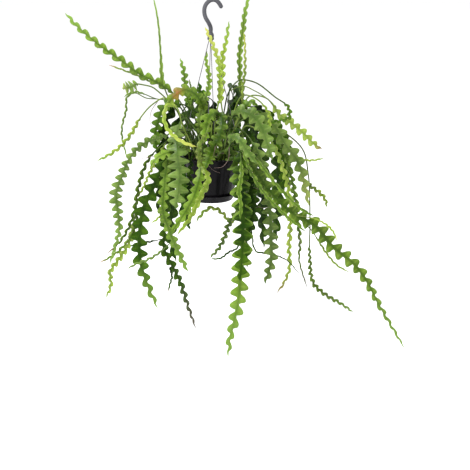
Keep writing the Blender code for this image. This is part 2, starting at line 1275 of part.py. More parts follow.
def crossing_pairs(patches, related):
    """The pairs of patches of different stems that the viewer sees one in front of the other."""
    found = []
    for i in range(len(patches)):
        rest = patches[i + 1 :]
        reach = patches[i, 5] + rest[:, 5]
        close = (np.abs(rest[:, 2] - patches[i, 2]) < reach) & (np.abs(rest[:, 3] - patches[i, 3]) < reach)
        close &= rest[:, 0] != patches[i, 0]
        others = i + 1 + np.nonzero(close)[0]
        gap = np.hypot(patches[others, 2] - patches[i, 2], patches[others, 3] - patches[i, 3])
        for j in others[gap < patches[i, 5] + patches[others, 5]]:
            if not joined_here(patches[i], patches[j], related):
                found.append((i, j))
    return np.array(found)


def joined_here(one, other, related):
    """Whether two patches are where a stem branches from the other."""
    pair = related.get((one[0], other[0]))
    if pair is None:
        return False
    child = one if pair == one[0] else other
    return child[7] < BRANCH_REACH


def uncrowd(routes, starts):
    """Moves the stems toward or away from the viewer until none goes through another thing."""
    names = list(routes)
    number = {name: i for i, name in enumerate(names)}
    stems = {stem.name: stem for stem in STEMS}
    counts = [len(routes[name]) for name in names]
    first = np.concatenate(([0], np.cumsum(counts)))
    points = np.vstack([routes[name] for name in names])
    right, up, near = as_seen(points)
    patches = [patches_of(stems[name], routes[name], starts[name], number[name]) for name in names]
    fixed = []
    for wire in range(WIRES):
        fixed.append((through(wire_points(wire), SAMPLE), 3.2 * MM, WIRE_WIDTH / 2 + 0.5 * MM))
    fixed.append((through(hook_points(), SAMPLE), HOOK_ROD / 2 + 2 * MM, HOOK_ROD / 2 + MM))
    fixed.append((knob_line(), KNOB_RADIUS + 2 * MM, KNOB_RADIUS + MM))
    for extra, (line, reach, depth) in enumerate(fixed):
        rows = fixed_patches(line, reach, depth, len(names) + extra)
        rows[:, 1] += len(near)
        patches.append(rows)
        near = np.concatenate((near, -line[:, 1]))
    patches = np.vstack(patches)
    owner = patches[:, 0].astype(int)
    sample = patches[:, 1].astype(int)
    stem_rows = owner < len(names)
    sample[stem_rows] += first[owner[stem_rows]]
    related = {}
    for stem in STEMS:
        if stem.on:
            child, parent = number[stem.name], number[stem.on]
            related[child, parent] = related[parent, child] = child
    pairs = crossing_pairs(patches, related)
    one, other = pairs[:, 0], pairs[:, 1]
    needed = patches[one, 6] + patches[other, 6] + CLEAR
    offset = patches[:, 4]
    key = owner[one] * 1000 + owner[other]
    _, group = np.unique(key, return_inverse=True)
    start_near = near.copy()
    ahead = start_near[sample[other]] + offset[other] - start_near[sample[one]] - offset[one]
    order = np.sign(np.bincount(group, ahead) + 1e-9)[group]
    free = np.zeros(len(near))
    free[: len(points)] = freedom(points, first, [stems[name] for name in names])
    seen_part = past_first_seen(points, first, [starts[name] for name in names])
    for _ in range(PUSHES):
        gap = (near[sample[other]] + offset[other] - near[sample[one]] - offset[one]) * order
        shift = np.clip(needed - gap, 0, None) * PUSH_SHARE
        forward, backward = np.zeros(len(near)), np.zeros(len(near))
        np.maximum.at(forward, np.where(order > 0, sample[other], sample[one]), shift)
        np.maximum.at(backward, np.where(order > 0, sample[one], sample[other]), shift)
        near = near + smoothed((forward - backward) * free, first) * free * PUSH_GAIN
        near = np.clip(near, start_near - MOST_MOVE, start_near + MOST_MOVE)
        near = outside_pot(right, up, near, seen_part)
        near = follow_parents(near, first, names, stems, counts)
    return {
        name: on_ray(right[a:b], up[a:b], near[a:b]) for name, a, b in zip(names, first[:-1], first[1:])
    }


def freedom(points, first, stems):
    """How far each sample may move: not at all in the soil, freely from 60 mm above it."""
    free = np.zeros(len(points))
    for stem, a, b in zip(stems, first[:-1], first[1:]):
        held = 2 * MM if stem.on else STALK_SUNK + 8 * MM
        ease = 30 * MM if stem.on else 55 * MM
        free[a:b] = np.clip((lengths(points[a:b]) - held) / ease, 0, 1)
    return free


def past_first_seen(points, first, starts):
    """Marks the samples past each stem's first seen point."""
    marks = np.zeros(len(points), bool)
    for start, a, b in zip(starts, first[:-1], first[1:]):
        marks[a:b] = lengths(points[a:b]) >= start - 10 * MM
    return marks


def smoothed(move, first):
    result = move.copy()
    for a, b in zip(first[:-1], first[1:]):
        part = np.pad(move[a:b], 3, mode="edge")
        result[a:b] = np.convolve(part, np.array((1, 2, 3, 4, 3, 2, 1)) / 16, "valid")
    return result


def outside_pot(right, up, near, seen_part):
    """Keeps what hangs beside the pot outside its rim, and what rises from the soil inside its mouth."""
    count = len(seen_part)
    here = on_ray(right, up, near[:count])
    beside = RIM_WIDTH / 2 + BESIDE_RIM
    reach = np.sqrt(np.clip(beside**2 - (BLADE_TURN * here[:, 0]) ** 2, 0, None))
    hanging = seen_part & (here[:, 2] < RIM_Z + 9 * MM) & (np.abs(near[:count]) < reach)
    within = MOUTH_RADIUS - 5 * MM
    most = np.sqrt(np.clip(within**2 - here[:, 0] ** 2, 0, None))
    rising = ~seen_part & (here[:, 2] < RIM_Z + 6 * MM)
    result = near.copy()
    result[:count][rising] = np.clip(near[:count], -most, most)[rising]
    result[:count][hanging] = np.where(near[:count] >= 0, reach, -reach)[hanging]
    return result


def follow_parents(near, first, names, stems, counts):
    """Moves each branch with the place it grows from."""
    number = {name: i for i, name in enumerate(names)}
    result = near.copy()
    for name in names:
        stem = stems[name]
        if not stem.on:
            continue
        parent = number[stem.on]
        place = first[parent] + round(stem.share * (counts[parent] - 1))
        a, b = first[number[name]], first[number[name] + 1]
        step = result[place] - result[a]
        fade = np.clip(1 - np.arange(b - a) / 10, 0, 1)
        result[a:b] += step * fade
    return result


# Meshes


def new_object(name, mesh_builder, smooth=False):
    mesh = bpy.data.meshes.new(name)
    bm = bmesh.new()
    mesh_builder(bm)
    bm.to_mesh(mesh)
    bm.free()
    item = bpy.data.objects.new(name, mesh)
    bpy.context.scene.collection.objects.link(item)
    if smooth:
        mesh.shade_smooth()
        mesh.set_sharp_from_angle(angle=math.radians(35))
    return item


def turned(name, profile, around=AROUND, smooth=True):
    """A solid of revolution from its closed outline of (radius, height) points, drawn from the axis."""

    def build(bm):
        rings = []
        for radius, height in profile:
            if radius < 1e-9:
                rings.append([bm.verts.new((0, 0, height))])
                continue
            turns = [2 * math.pi * i / around for i in range(around)]
            rings.append([bm.verts.new((radius * math.cos(t), radius * math.sin(t), height)) for t in turns])
        for ring, following in zip(rings, rings[1:]):
            bridge(bm, ring, following)
        bmesh.ops.recalc_face_normals(bm, faces=bm.faces[:])

    return new_object(name, build, smooth)


def bridge(bm, ring, following):
    count = max(len(ring), len(following))
    for i in range(count):
        j = (i + 1) % count
        if len(ring) == 1:
            bm.faces.new((ring[0], following[j], following[i]))
        elif len(following) == 1:
            bm.faces.new((ring[i], ring[j], following[0]))
        else:
            bm.faces.new((ring[i], ring[j], following[j], following[i]))


def rod(name, points, radius, around):
    """A round rod along the points."""
    ahead = directions(points)
    across = np.cross(ahead[0], (0.31, 0.87, 0.12))

    def build(bm):
        side = across / np.linalg.norm(across)
        rings = []
        for point, way in zip(points, ahead):
            side = side - way * side.dot(way)
            side = side / np.linalg.norm(side)
            other = np.cross(way, side)
            turns = [2 * math.pi * i / around for i in range(around)]
            rings.append(
                [bm.verts.new(point + radius * (side * math.cos(t) + other * math.sin(t))) for t in turns]
            )
        for ring, following in zip(rings, rings[1:]):
            bridge(bm, ring, following)
        bm.faces.new(rings[0])
        bm.faces.new(rings[-1])
        bmesh.ops.recalc_face_normals(bm, faces=bm.faces[:])

    return new_object(name, build, smooth=True)


def cut(target, tools, operation="DIFFERENCE"):
    """Cuts the tools from the target, or joins them to it, and removes them."""
    group = bpy.data.collections.new(f"{target.name}_tools")
    bpy.context.scene.collection.children.link(group)
    for tool in tools:
        for owner in list(tool.users_collection):
            owner.objects.unlink(tool)
        group.objects.link(tool)
    modifier = target.modifiers.new("tools", "BOOLEAN")
    modifier.operation = operation
    modifier.solver = "MANIFOLD"
    modifier.operand_type = "COLLECTION"
    modifier.collection = group
    graph = bpy.context.evaluated_depsgraph_get()
    joined = bpy.data.meshes.new_from_object(target.evaluated_get(graph))
    target.modifiers.clear()
    old = target.data
    target.data = joined
    joined.name = target.name
    bpy.data.meshes.remove(old)
    for tool in tools:
        bpy.data.objects.remove(tool)
    bpy.data.collections.remove(group)
    return target


# The pot, its saucer and the soil


def pot_outline():
    """The pot's wall from the middle of its floor, up the outside, over the rim and down the inside."""
    rim = RIM_WIDTH / 2
    neck = rim - FLANGE_REACH
    base = BASE_WIDTH / 2
    band = RIM_Z - BAND_HEIGHT
    slope = (neck - base) / POT_HEIGHT
    return (
        (0, FLOOR_Z),
        (base - 2 * MM, FLOOR_Z),
        (base, FLOOR_Z + 2 * MM),
        (neck - slope * BAND_HEIGHT, band),
        (neck + 0.9 * MM, band + 0.6 * MM),
        (neck + 1.2 * MM, RIM_Z - FLANGE_THICKNESS),
        (rim - 0.8 * MM, RIM_Z - FLANGE_THICKNESS),
        (rim, RIM_Z - FLANGE_THICKNESS + 0.7 * MM),
        (rim - 0.8 * MM, RIM_Z),
        (neck - WALL + 1.2 * MM, RIM_Z),
        (neck - WALL, RIM_Z - 1.5 * MM),
        (base - WALL, FLOOR_Z + WALL + 0.4 * MM),
        (base - WALL - MM, FLOOR_Z + WALL),
        (0, FLOOR_Z + WALL),
    )


def make_pot():
    pot = turned("pot", pot_outline())
    tools = []
    for i in range(DRAIN_HOLES):
        turn = 2 * math.pi * (i + 0.5) / DRAIN_HOLES
        place = np.array((38 * MM * math.cos(turn), 38 * MM * math.sin(turn), FLOOR_Z))
        line = np.array((place - (0, 0, 3 * MM), place + (0, 0, 5 * MM)))
        tools.append(rod(f"drain_{i}", line, 4 * MM, 6))
    for i in range(WIRES):
        eye = wire_eye(i)
        line = np.array((eye - (0, 0, 6 * MM), eye + (0, 0, 4 * MM)))
        tools.append(rod(f"eye_{i}", line, WIRE_WIDTH / 2 + 0.7 * MM, 6))
    return cut(pot, tools)


def make_saucer():
    """A shallow dish that holds the pot's foot on a raised ring."""
    top = FLOOR_Z + SAUCER_HEIGHT - 6 * MM
    under = FLOOR_Z - 6 * MM
    edge = SAUCER_WIDTH / 2
    foot = BASE_WIDTH / 2
    outline = (
        (0, under),
        (foot - 3 * MM, under),
        (foot - MM, under + MM),
        (edge - 1.6 * MM, top - 1.8 * MM),
        (edge, top - 1.4 * MM),
        (edge, top),
        (edge - 2.2 * MM, top),
        (foot + 1.2 * MM, FLOOR_Z - 1.4 * MM),
        (foot - 4 * MM, FLOOR_Z - 3.4 * MM),
        (foot - 6 * MM, FLOOR_Z - GAP),
        (foot - 9 * MM, FLOOR_Z - GAP),
        (foot - 11 * MM, under + 1.8 * MM),
        (0, under + 1.8 * MM),
    )
    return turned("saucer", outline)


def make_soil(roots):
    """Potting mix from the pot's floor to below its rim, with a plain hole for each stalk."""
    neck = RIM_WIDTH / 2 - FLANGE_REACH
    base = BASE_WIDTH / 2
    slope = (neck - base) / POT_HEIGHT
    bottom = FLOOR_Z + WALL + GAP
    low = base + slope * (bottom + 2 * MM - FLOOR_Z) - WALL - 1.1 * MM
    high = base + slope * (SOIL_Z - FLOOR_Z) - WALL - 1.1 * MM
    outline = (
        (0, bottom),
        (low - 2.2 * MM, bottom),
        (low, bottom + 2 * MM),
        (high, SOIL_Z - MM),
        (high - MM, SOIL_Z),
        (0, SOIL_Z),
    )
    soil = turned("soil", outline)
    holes = []
    for i, root in enumerate(roots):
        top = np.array((*root[:2], SOIL_Z + 5 * MM))
        line = np.array((top, top - (0, 0, 5 * MM + STALK_SUNK + MM)))
        holes.append(rod(f"hole_{i}", line, STALK_WIDTH / 2 + 1.1 * MM, 4))
    return cut(soil, holes)


# The hanger


def hook_points():
    """The hook's centre line from its tip, over the saddle and down the shank to the knob."""
    lift = HOOK_ROD / 2
    return np.array(
        (
            (27, 0, -20),
            (22, 0, -10),
            (13, 0, -1),
            (3, 0, 0),
            (-6, 0, -5),
            (-13, 0, -15),
            (-15, 0, -29),
            (-12, 0, -42),
            (-5, 0, -54),
            (0, 0, -66),
            (0, 0, -78),
        )
    ) * MM + (0, 0, lift)


def knob_line():
    heights = np.linspace(KNOB_TOP, KNOB_TOP - KNOB_HEIGHT, 4)
    return np.column_stack((np.zeros(4), np.zeros(4), heights))


def make_hook():
    hook = rod("hanger_hook", through(hook_points(), 7.5 * MM), HOOK_ROD / 2, 8)
    top, bottom = KNOB_TOP, KNOB_TOP - KNOB_HEIGHT
    outline = (
        (0, top + 3 * MM),
        (HOOK_ROD / 2 + MM, top + 3 * MM),
        (KNOB_RADIUS, top - 3 * MM),
        (KNOB_RADIUS, bottom + 2 * MM),
        (KNOB_RADIUS - 2 * MM, bottom),
        (0, bottom),
    )
    knob = turned("knob", outline, 12)
    cut(hook, [knob], "UNION")
    sockets = []
    for i in range(WIRES):
        points = wire_points(i)
        start, way = points[0], points[0] - points[1]
        way = way / np.linalg.norm(way)
        line = np.array((start + way * MM, start - way * 30 * MM))
        sockets.append(rod(f"socket_{i}", line, WIRE_WIDTH / 2 + GAP + 0.1 * MM, 6))
    return cut(hook, sockets)


def wire_eye(number):
    """The middle of a wire's hole in the pot's flange."""
    turn = 2 * math.pi * number / WIRES + math.pi + WIRE_TURN
    return np.array((WIRE_EYE_RADIUS * math.cos(turn), WIRE_EYE_RADIUS * math.sin(turn), RIM_Z))


def wire_points(number):
    """A wire from its socket in the knob to the hook below the pot's flange."""
    eye = wire_eye(number)
    out = np.array((eye[0], eye[1], 0)) / WIRE_EYE_RADIUS
    below = KNOB_TOP - KNOB_HEIGHT
    top = np.array((*(out[:2] * SOCKET_RADIUS), below + 9 * MM))
    return np.array(
        (
            top,
            top - (0, 0, 10 * MM),
            eye + (0, 0, 9 * MM) - out * 1.4 * MM,
            eye + (0, 0, 3 * MM),
            eye - (0, 0, 5 * MM),
            eye - (0, 0, 7.6 * MM) + out * 1.6 * MM,
            eye - (0, 0, 6.4 * MM) + out * 3.4 * MM,
        )
    )


def make_wires():
    for i in range(WIRES):
        points = wire_points(i)
        line = np.vstack((points[:2], through(points[2:], 3 * MM)))
        rod(f"hanger_wire_{i + 1}", line, WIRE_WIDTH / 2, 6)


# The stems

# A lobe rises slowly and ends square toward the tip. Each place along one pitch has the share of the
# half width that the left edge reaches there, and how far the edge leans ahead, in pitches. The right
# edge is half a pitch behind.
ROUNDED_LOBE = {0: (0.74, 0), 0.2: (0.92, 0), 0.5: (1.0, 0), 0.7: (0.27, 0)}
PLAIN_LOBE = {0: (1.0, 0.17), 0.5: (0.28, 0)}


def stations(stem, route, start):
    """Along the stem: each section's place, its two half widths, its half thickness and two leans."""
    total = lengths(route)[-1]
    first = lobed_from(stem, route, start)
    count = max(2, round((total - first) / (stem.pitch * MM)))
    pitch = (total - first) / (count + 0.2)
    stalk = STALK_WIDTH / 2 if not stem.on else STALK_WIDTH * 0.38
    lobe = ROUNDED_LOBE if stem.rounded else PLAIN_LOBE
    rows = [(0, stalk, stalk, stalk, 0, 0)]
    if not stem.on:
        rows.append((STALK_SUNK + 6 * MM, stalk, stalk, stalk, 0, 0))
    rows += [(place, stalk, stalk, stalk, 0, 0) for place in stalk_places(route, rows[-1][0], first)]
    for i in range(count):
        for place, (left_reach, left_lean) in lobe.items():
            right_reach, right_lean = lobe[round((place + 0.5) % 1, 1)]
            along = first + (i + place) * pitch
            if along < rows[-1][0] + 2.5 * MM:
                continue
            share = (along - first) / (total - first)
            half = half_width(stem, share)
            grow = min(1, 0.3 + (i + place) / 0.8)
            left = max(half * grow * left_reach, stalk)
            right = max(half * grow * right_reach, stalk)
            thick = RIB_THICKNESS / 2 * (0.6 + 0.4 * min(1, half / (12 * MM))) * (1 - 0.35 * share)
            rows.append((along, left, right, max(thick, 0.9 * MM), left_lean * pitch, right_lean * pitch))
    return rows, total


def stalk_places(route, begin, end):
    """Places along the bare stalk, close where it bends, so that straight pieces follow it."""
    dense = through(route, FINE_SAMPLE)
    along = lengths(dense) * (lengths(route)[-1] / lengths(dense)[-1])
    here = int(np.searchsorted(along, begin))
    last = int(np.searchsorted(along, end)) - 1
    places = []
    there = here + 2
    while there < last:
        chord = dense[there] - dense[here]
        offsets = np.cross(dense[here:there] - dense[here], chord / np.linalg.norm(chord))
        bow = np.linalg.norm(offsets, axis=1).max()
        if bow > STALK_BOW or along[there] - along[here] > STALK_STEP:
            here = there - 1
            places.append(along[here])
        there += 1
    return [place for place in places if place < end - 8 * MM]


def blade(stem, route, start):
    """The stem as a closed blade: sections of two edges and two ribs, and a pointed tip."""
    rows, total = stations(stem, route, start)
    dense = through(route, FINE_SAMPLE)
    scale = lengths(dense)[-1] / total
    places = np.array([row[0] for row in rows] + [total]) * scale
    centres = at_lengths(dense, places)
    across = at_lengths_of(sides(dense, stem.roll), lengths(dense), places)
    ahead = at_lengths_of(directions(dense), lengths(dense), places)
    face = np.cross(across, ahead)

    def build(bm):
        rings = []
        for row, centre, side, way, out in zip(rows, centres, across, ahead, face):
            _, left, right, thick, *leans = row
            corners = (
                centre - side * left + way * leans[0],
                centre + out * thick,
                centre + side * right + way * leans[1],
                centre - out * thick,
            )
            rings.append([bm.verts.new(corner) for corner in corners])
        for ring, following in zip(rings, rings[1:]):
            for i in range(4):
                j = (i + 1) % 4
                edge, rib = (i, j) if i % 2 == 0 else (j, i)
                triangles_between(bm, ring, following, edge, rib, i % 2 == 0)
        tip = bm.verts.new(centres[-1])
        for i in range(4):
            bm.faces.new((rings[-1][i], rings[-1][(i + 1) % 4], tip))
        first = rings[0]
        bm.faces.new((first[0], first[2], first[1]))
        bm.faces.new((first[0], first[3], first[2]))
        bmesh.ops.recalc_face_normals(bm, faces=bm.faces[:])

    return new_object(f"stem_{stem.name}", build)


def at_lengths_of(vectors, along, places):
    found = np.stack([np.interp(places, along, vectors[:, axis]) for axis in range(3)], axis=1)
    return found / np.linalg.norm(found, axis=1)[:, None]


def triangles_between(bm, ring, following, edge, rib, forward):
    """Two triangles from the edge to the rib, split the same way on both faces of the blade."""
    first = (ring[edge], ring[rib], following[rib])
    second = (ring[edge], following[rib], following[edge])
    for corners in (first, second):
        bm.faces.new(corners if forward else corners[::-1])


def make_stems(routes, starts):
    made = {stem.name: blade(stem, routes[stem.name], starts[stem.name]) for stem in STEMS}
    trunks = [stem for stem in STEMS if not stem.on]
    for trunk in trunks:
        family, names = [], [trunk.name]
        for stem in STEMS:
            if stem.on in names:
                names.append(stem.name)
                family.append(made[stem.name])
        if family:
            cut(made[trunk.name], family, "UNION")
        paint(made[trunk.name], f"stem_{trunk.tone}", TONES[trunk.tone], 0.45)


def paint(item, name, colour, roughness, metallic=0.0):
    material = bpy.data.materials.get(name) or bpy.data.materials.new(name)
    material.use_nodes = True
    shader = material.node_tree.nodes["Principled BSDF"]
    shader.inputs["Base Color"].default_value = (*colour, 1)
    shader.inputs["Roughness"].default_value = roughness
    shader.inputs["Metallic"].default_value = metallic
    item.data.materials.clear()
    item.data.materials.append(material)


def main():
    for item in list(bpy.data.objects):
        bpy.data.objects.remove(item)
    routes, starts = first_routes()
    routes = uncrowd(routes, starts)
    paint(make_pot(), "pot_black", (0.02, 0.018, 0.022), 0.3)
    paint(make_saucer(), "saucer_black", (0.02, 0.018, 0.022), 0.25)
    roots = [routes[stem.name][0] for stem in STEMS if not stem.on]
    paint(make_soil(roots), "soil_brown", (0.05, 0.03, 0.02), 0.95)
    paint(make_hook(), "hook_grey", (0.09, 0.09, 0.1), 0.4)
    make_wires()
    for i in range(WIRES):
        paint(bpy.data.objects[f"hanger_wire_{i + 1}"], "wire_steel", (0.35, 0.33, 0.36), 0.35, 1.0)
    make_stems(routes, starts)


main()
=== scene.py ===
"""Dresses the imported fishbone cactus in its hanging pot: leafy stems, soil, plastic and wire.

Lengths are in metres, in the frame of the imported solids: the hook's saddle is the origin, +Z is up,
+X is the viewer's right and -Y faces the viewer. MM turns a value written in millimetres to metres.
"""

import logging
import math
from dataclasses import dataclass, field
from enum import Enum
from typing import Dict, List, Optional, Sequence, Tuple

import bmesh
import bpy
import numpy as np
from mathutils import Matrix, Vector, noise


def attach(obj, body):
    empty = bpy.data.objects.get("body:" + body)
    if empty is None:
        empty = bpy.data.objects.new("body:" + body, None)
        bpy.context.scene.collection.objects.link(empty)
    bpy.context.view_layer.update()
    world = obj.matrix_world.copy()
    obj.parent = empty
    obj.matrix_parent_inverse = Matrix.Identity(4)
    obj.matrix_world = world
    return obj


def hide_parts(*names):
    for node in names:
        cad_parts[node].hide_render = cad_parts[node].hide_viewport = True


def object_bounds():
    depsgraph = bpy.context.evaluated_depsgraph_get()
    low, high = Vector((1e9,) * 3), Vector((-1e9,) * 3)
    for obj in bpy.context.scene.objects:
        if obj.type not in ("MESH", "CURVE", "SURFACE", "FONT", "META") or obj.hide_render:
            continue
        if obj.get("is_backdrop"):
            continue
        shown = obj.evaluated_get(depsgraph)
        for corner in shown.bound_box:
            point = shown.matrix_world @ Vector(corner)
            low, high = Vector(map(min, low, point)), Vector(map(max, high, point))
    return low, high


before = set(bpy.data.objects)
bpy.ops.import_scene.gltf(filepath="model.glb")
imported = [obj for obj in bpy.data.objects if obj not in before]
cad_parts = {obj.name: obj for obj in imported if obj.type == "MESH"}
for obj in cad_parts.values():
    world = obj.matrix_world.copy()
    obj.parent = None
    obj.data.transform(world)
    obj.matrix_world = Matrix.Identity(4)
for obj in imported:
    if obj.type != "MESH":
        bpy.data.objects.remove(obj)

Colour = Tuple[float, float, float]
Pixels = Tuple[Tuple[float, float], ...]

LOG = logging.getLogger("fishbone_cactus")
MM = 0.001

# Driving dimensions, as in the solids
RIM_WIDTH = 157 * MM
BASE_WIDTH = 106 * MM
POT_HEIGHT = 105 * MM
WALL = 1.6 * MM
SAUCER_WIDTH = 122 * MM
SAUCER_HEIGHT = 17 * MM
HANGER_DROP = 373 * MM
HOOK_ROD = 10 * MM
WIRE_WIDTH = 1.8 * MM
STALK_WIDTH = 3.4 * MM
RIB_THICKNESS = 3.6 * MM
FLANGE_REACH = 7.5 * MM
FLANGE_THICKNESS = 2.0 * MM
BAND_HEIGHT = 13 * MM
SOIL_BELOW_RIM = 16 * MM
RIM_Z = -HANGER_DROP
FLOOR_Z = RIM_Z - POT_HEIGHT
SOIL_Z = RIM_Z - SOIL_BELOW_RIM
MOUTH_RADIUS = RIM_WIDTH / 2 - FLANGE_REACH - WALL
ROOT_RADIUS = MOUTH_RADIUS - 13 * MM
STALK_SUNK = 9 * MM
DRAIN_HOLES = 4

# The hanger
WIRES = 4
WIRE_TURN = math.radians(-6)
WIRE_EYE_RADIUS = RIM_WIDTH / 2 - 3.6 * MM
KNOB_TOP = -76 * MM
KNOB_HEIGHT = 15 * MM
KNOB_RADIUS = 8 * MM
SOCKET_RADIUS = 4.2 * MM

# The photograph's view, and the size of one of its pixels at the pot's axis
SIGHT_TILT = math.radians(15)
SIGHT_RANGE = 3.5
PIXEL = 2.5 * MM
PHOTO_WIDTH = 470
PHOTO_CENTRE = (235, 235)
SADDLE_PIXEL = (210.5, 2)

# How the stalks stand in the soil and leave the pot
ROOT_SPREAD = (0.62, 0.5)
ROOT_TURN = 2.4
ROOT_ROUNDS = 400
ROOTS_APART = 12.5 * MM
ROOT_PUSH = 0.35
RISE_LEAN = 0.12
RISE_HEIGHTS = (6 * MM, 26 * MM)
LOW_START = 34 * MM
OVER_RIM = 36 * MM
PAST_MOUTH = 2 * MM

# How far before a stem's first seen point it counts as risen, and before its first lobe as leafy
RISEN_BEFORE = 10 * MM
LEAFY_BEFORE = 4 * MM

# How the stems are spaced: as patches that the viewer sees, moved apart in depth
SAMPLE = 7 * MM
CLEAR = 0.9 * MM
PUSHES = 260
OVERSHOOT = 1.2
MOST_MOVE = 45 * MM
BLADE_TURN = 0.8
PATCH_OFFSETS = (-0.67, 0, 0.67)
WIDE_HALF = 6 * MM
LEAST_HALF = 1.6 * MM
PATCH_MARGIN = 2.4 * MM
PATCH_REACH = 0.36
LEAST_REACH = 4.2 * MM
LEAST_FLAT = 0.3
STEEPEST = 1.2
DEPTH_SHARE = 0.75
JOINT_REACH = 42 * MM
PAIR_STEP = 1000
HELD_ON_STEM, EASE_ON_STEM = 2 * MM, 30 * MM
HELD_IN_SOIL, EASE_IN_SOIL = STALK_SUNK + 8 * MM, 55 * MM
BESIDE_RIM, RISING_RIM = 9 * MM, 6 * MM
RIM_CLEAR = 5 * MM
FADE_SAMPLES = 10
SMOOTHING = np.array((1, 2, 3, 4, 3, 2, 1)) / 16

# How finely the stems are made, and the form of their lobes
ROWS_PER_LOBE = 14
STALK_ROW = 4.5 * MM
LAMINA = 1.5 * MM
SINUS = 0.2
LOBE_ROUNDING = 1.1
RISE_POWER, FALL_POWER = 0.55, 0.45
LOBE_SIZES = (0.9, 1.0)
LOBE_WANDER = 0.035
LOBE_CURL, LOBE_BEND, LOBE_LEAN = 0.13, 0.05, 0.04
LEAST_LOBED, LOBED_EASE = 2.4 * MM, 3.2 * MM
FULL_RIB = 12 * MM
LEAST_RIB = 0.9 * MM
RIB_FIT = 0.92
TAPER = 0.35
BLUNT = 3.5 * MM
THINNED = 6 * MM
STRAP = 2.4 * MM
RIB_SHOWS = 3 * MM
BARE_EASE = 8 * MM
SHOOT_STALK = 0.38
SPARE_PITCH = 0.2

# Which points of a blade's rings are its two edges, and where along it areoles sit
EDGE_POINTS = (0, 8)
AREOLES_FROM, AREOLES_TO = 0.02, 0.95
AREOLE_HALF = 5 * MM
AREOLE_RADIUS = 0.75 * MM

# The dry roots, in MM: their radius at each end, then rootlets: on how wide a stem, how long, where, which way
ROOT_RADII = (0.8, 0.34)
ROOTLET_FROM_WIDTH = 20
ROOTLET_LENGTHS = (6, 17)
ROOTLET_SHARES = (0.15, 0.7)
ROOTLET_WAYS = ((-0.7, 0.7), (0.2, 1), (-1, -0.3))

# Meshes: degrees from which an edge is sharp, and the distance at which points are one
SHARP, SOIL_SHARP, LEAF_SHARP = 40, 60, 75
WELD = 1e-7

# Where the shade among the upright stems ends: how far from its centre, 0.4 mm below the hook's saddle
SHADE_CENTRE = (0, 0, -HANGER_DROP * MM)
SHADE_FROM, SHADE_EASE = 30 * MM, 120 * MM


class Tone(Enum):
    """The plant's greens, each with a material slot's name as its value."""

    DARK = "stem_dark"
    GREEN = "stem_green"
    SAGE = "stem_sage"
    LIME = "stem_lime"


class Tip(Enum):
    """What a stem's growing end looks like: its colour and how much of the stem it takes."""

    FRESH = ((0.135, 0.225, 0.036), 0.35)
    PALE = ((0.27, 0.32, 0.08), 0.4)
    PINK = ((0.30, 0.13, 0.08), 0.14)
    BROWN = ((0.17, 0.085, 0.03), 0.16)
    RED = ((0.26, 0.055, 0.025), 0.16)
    GREY = ((0.095, 0.075, 0.07), 0.3)
    YELLOW = ((0.33, 0.34, 0.07), 0.55)


@dataclass(frozen=True)
class Stem:
    """One leafy stem.

    seen: photo pixels (right, down) that it passes through, from its base to its tip
    near: how far it is in front of the pot's axis, in MM, spread evenly over those points
    wide: its width across a pair of lobes, in MM, spread evenly from its first lobe to its tip
    bare: the share of the seen points before its first lobe
    pitch: MM from one lobe to the next on the same side
    roll: degrees that its flat face is turned from the viewer
    on, share: the stem that it branches from, and how far along that stem
    rounded: whether its lobes are the long rounded ones
    tone: which of the plant's greens it has
    sinus: the share of its half width that its notches leave
    fuller: how much fuller its lobes are here than in the solids, besides LOBE_ROUNDING
    tip: its growing end, where that has a colour of its own
    look: how much younger its green is than its tone's, and how far it has gone to pale green;
        drawn at random where it isn't given
    rusted: the shares of its length that a rust stain lies between
    """

    name: str
    seen: Pixels
    near: Tuple[float, ...]
    wide: Tuple[float, ...]
    bare: float = 0.15
    pitch: float = 26
    roll: float = 0
    on: str = ""
    share: float = 0
    rounded: bool = False
    tone: Tone = Tone.GREEN
    sinus: float = SINUS
    fuller: float = 1
    tip: Optional[Tip] = None
    look: Optional[Tuple[float, float]] = None
    rusted: Optional[Tuple[float, float]] = None


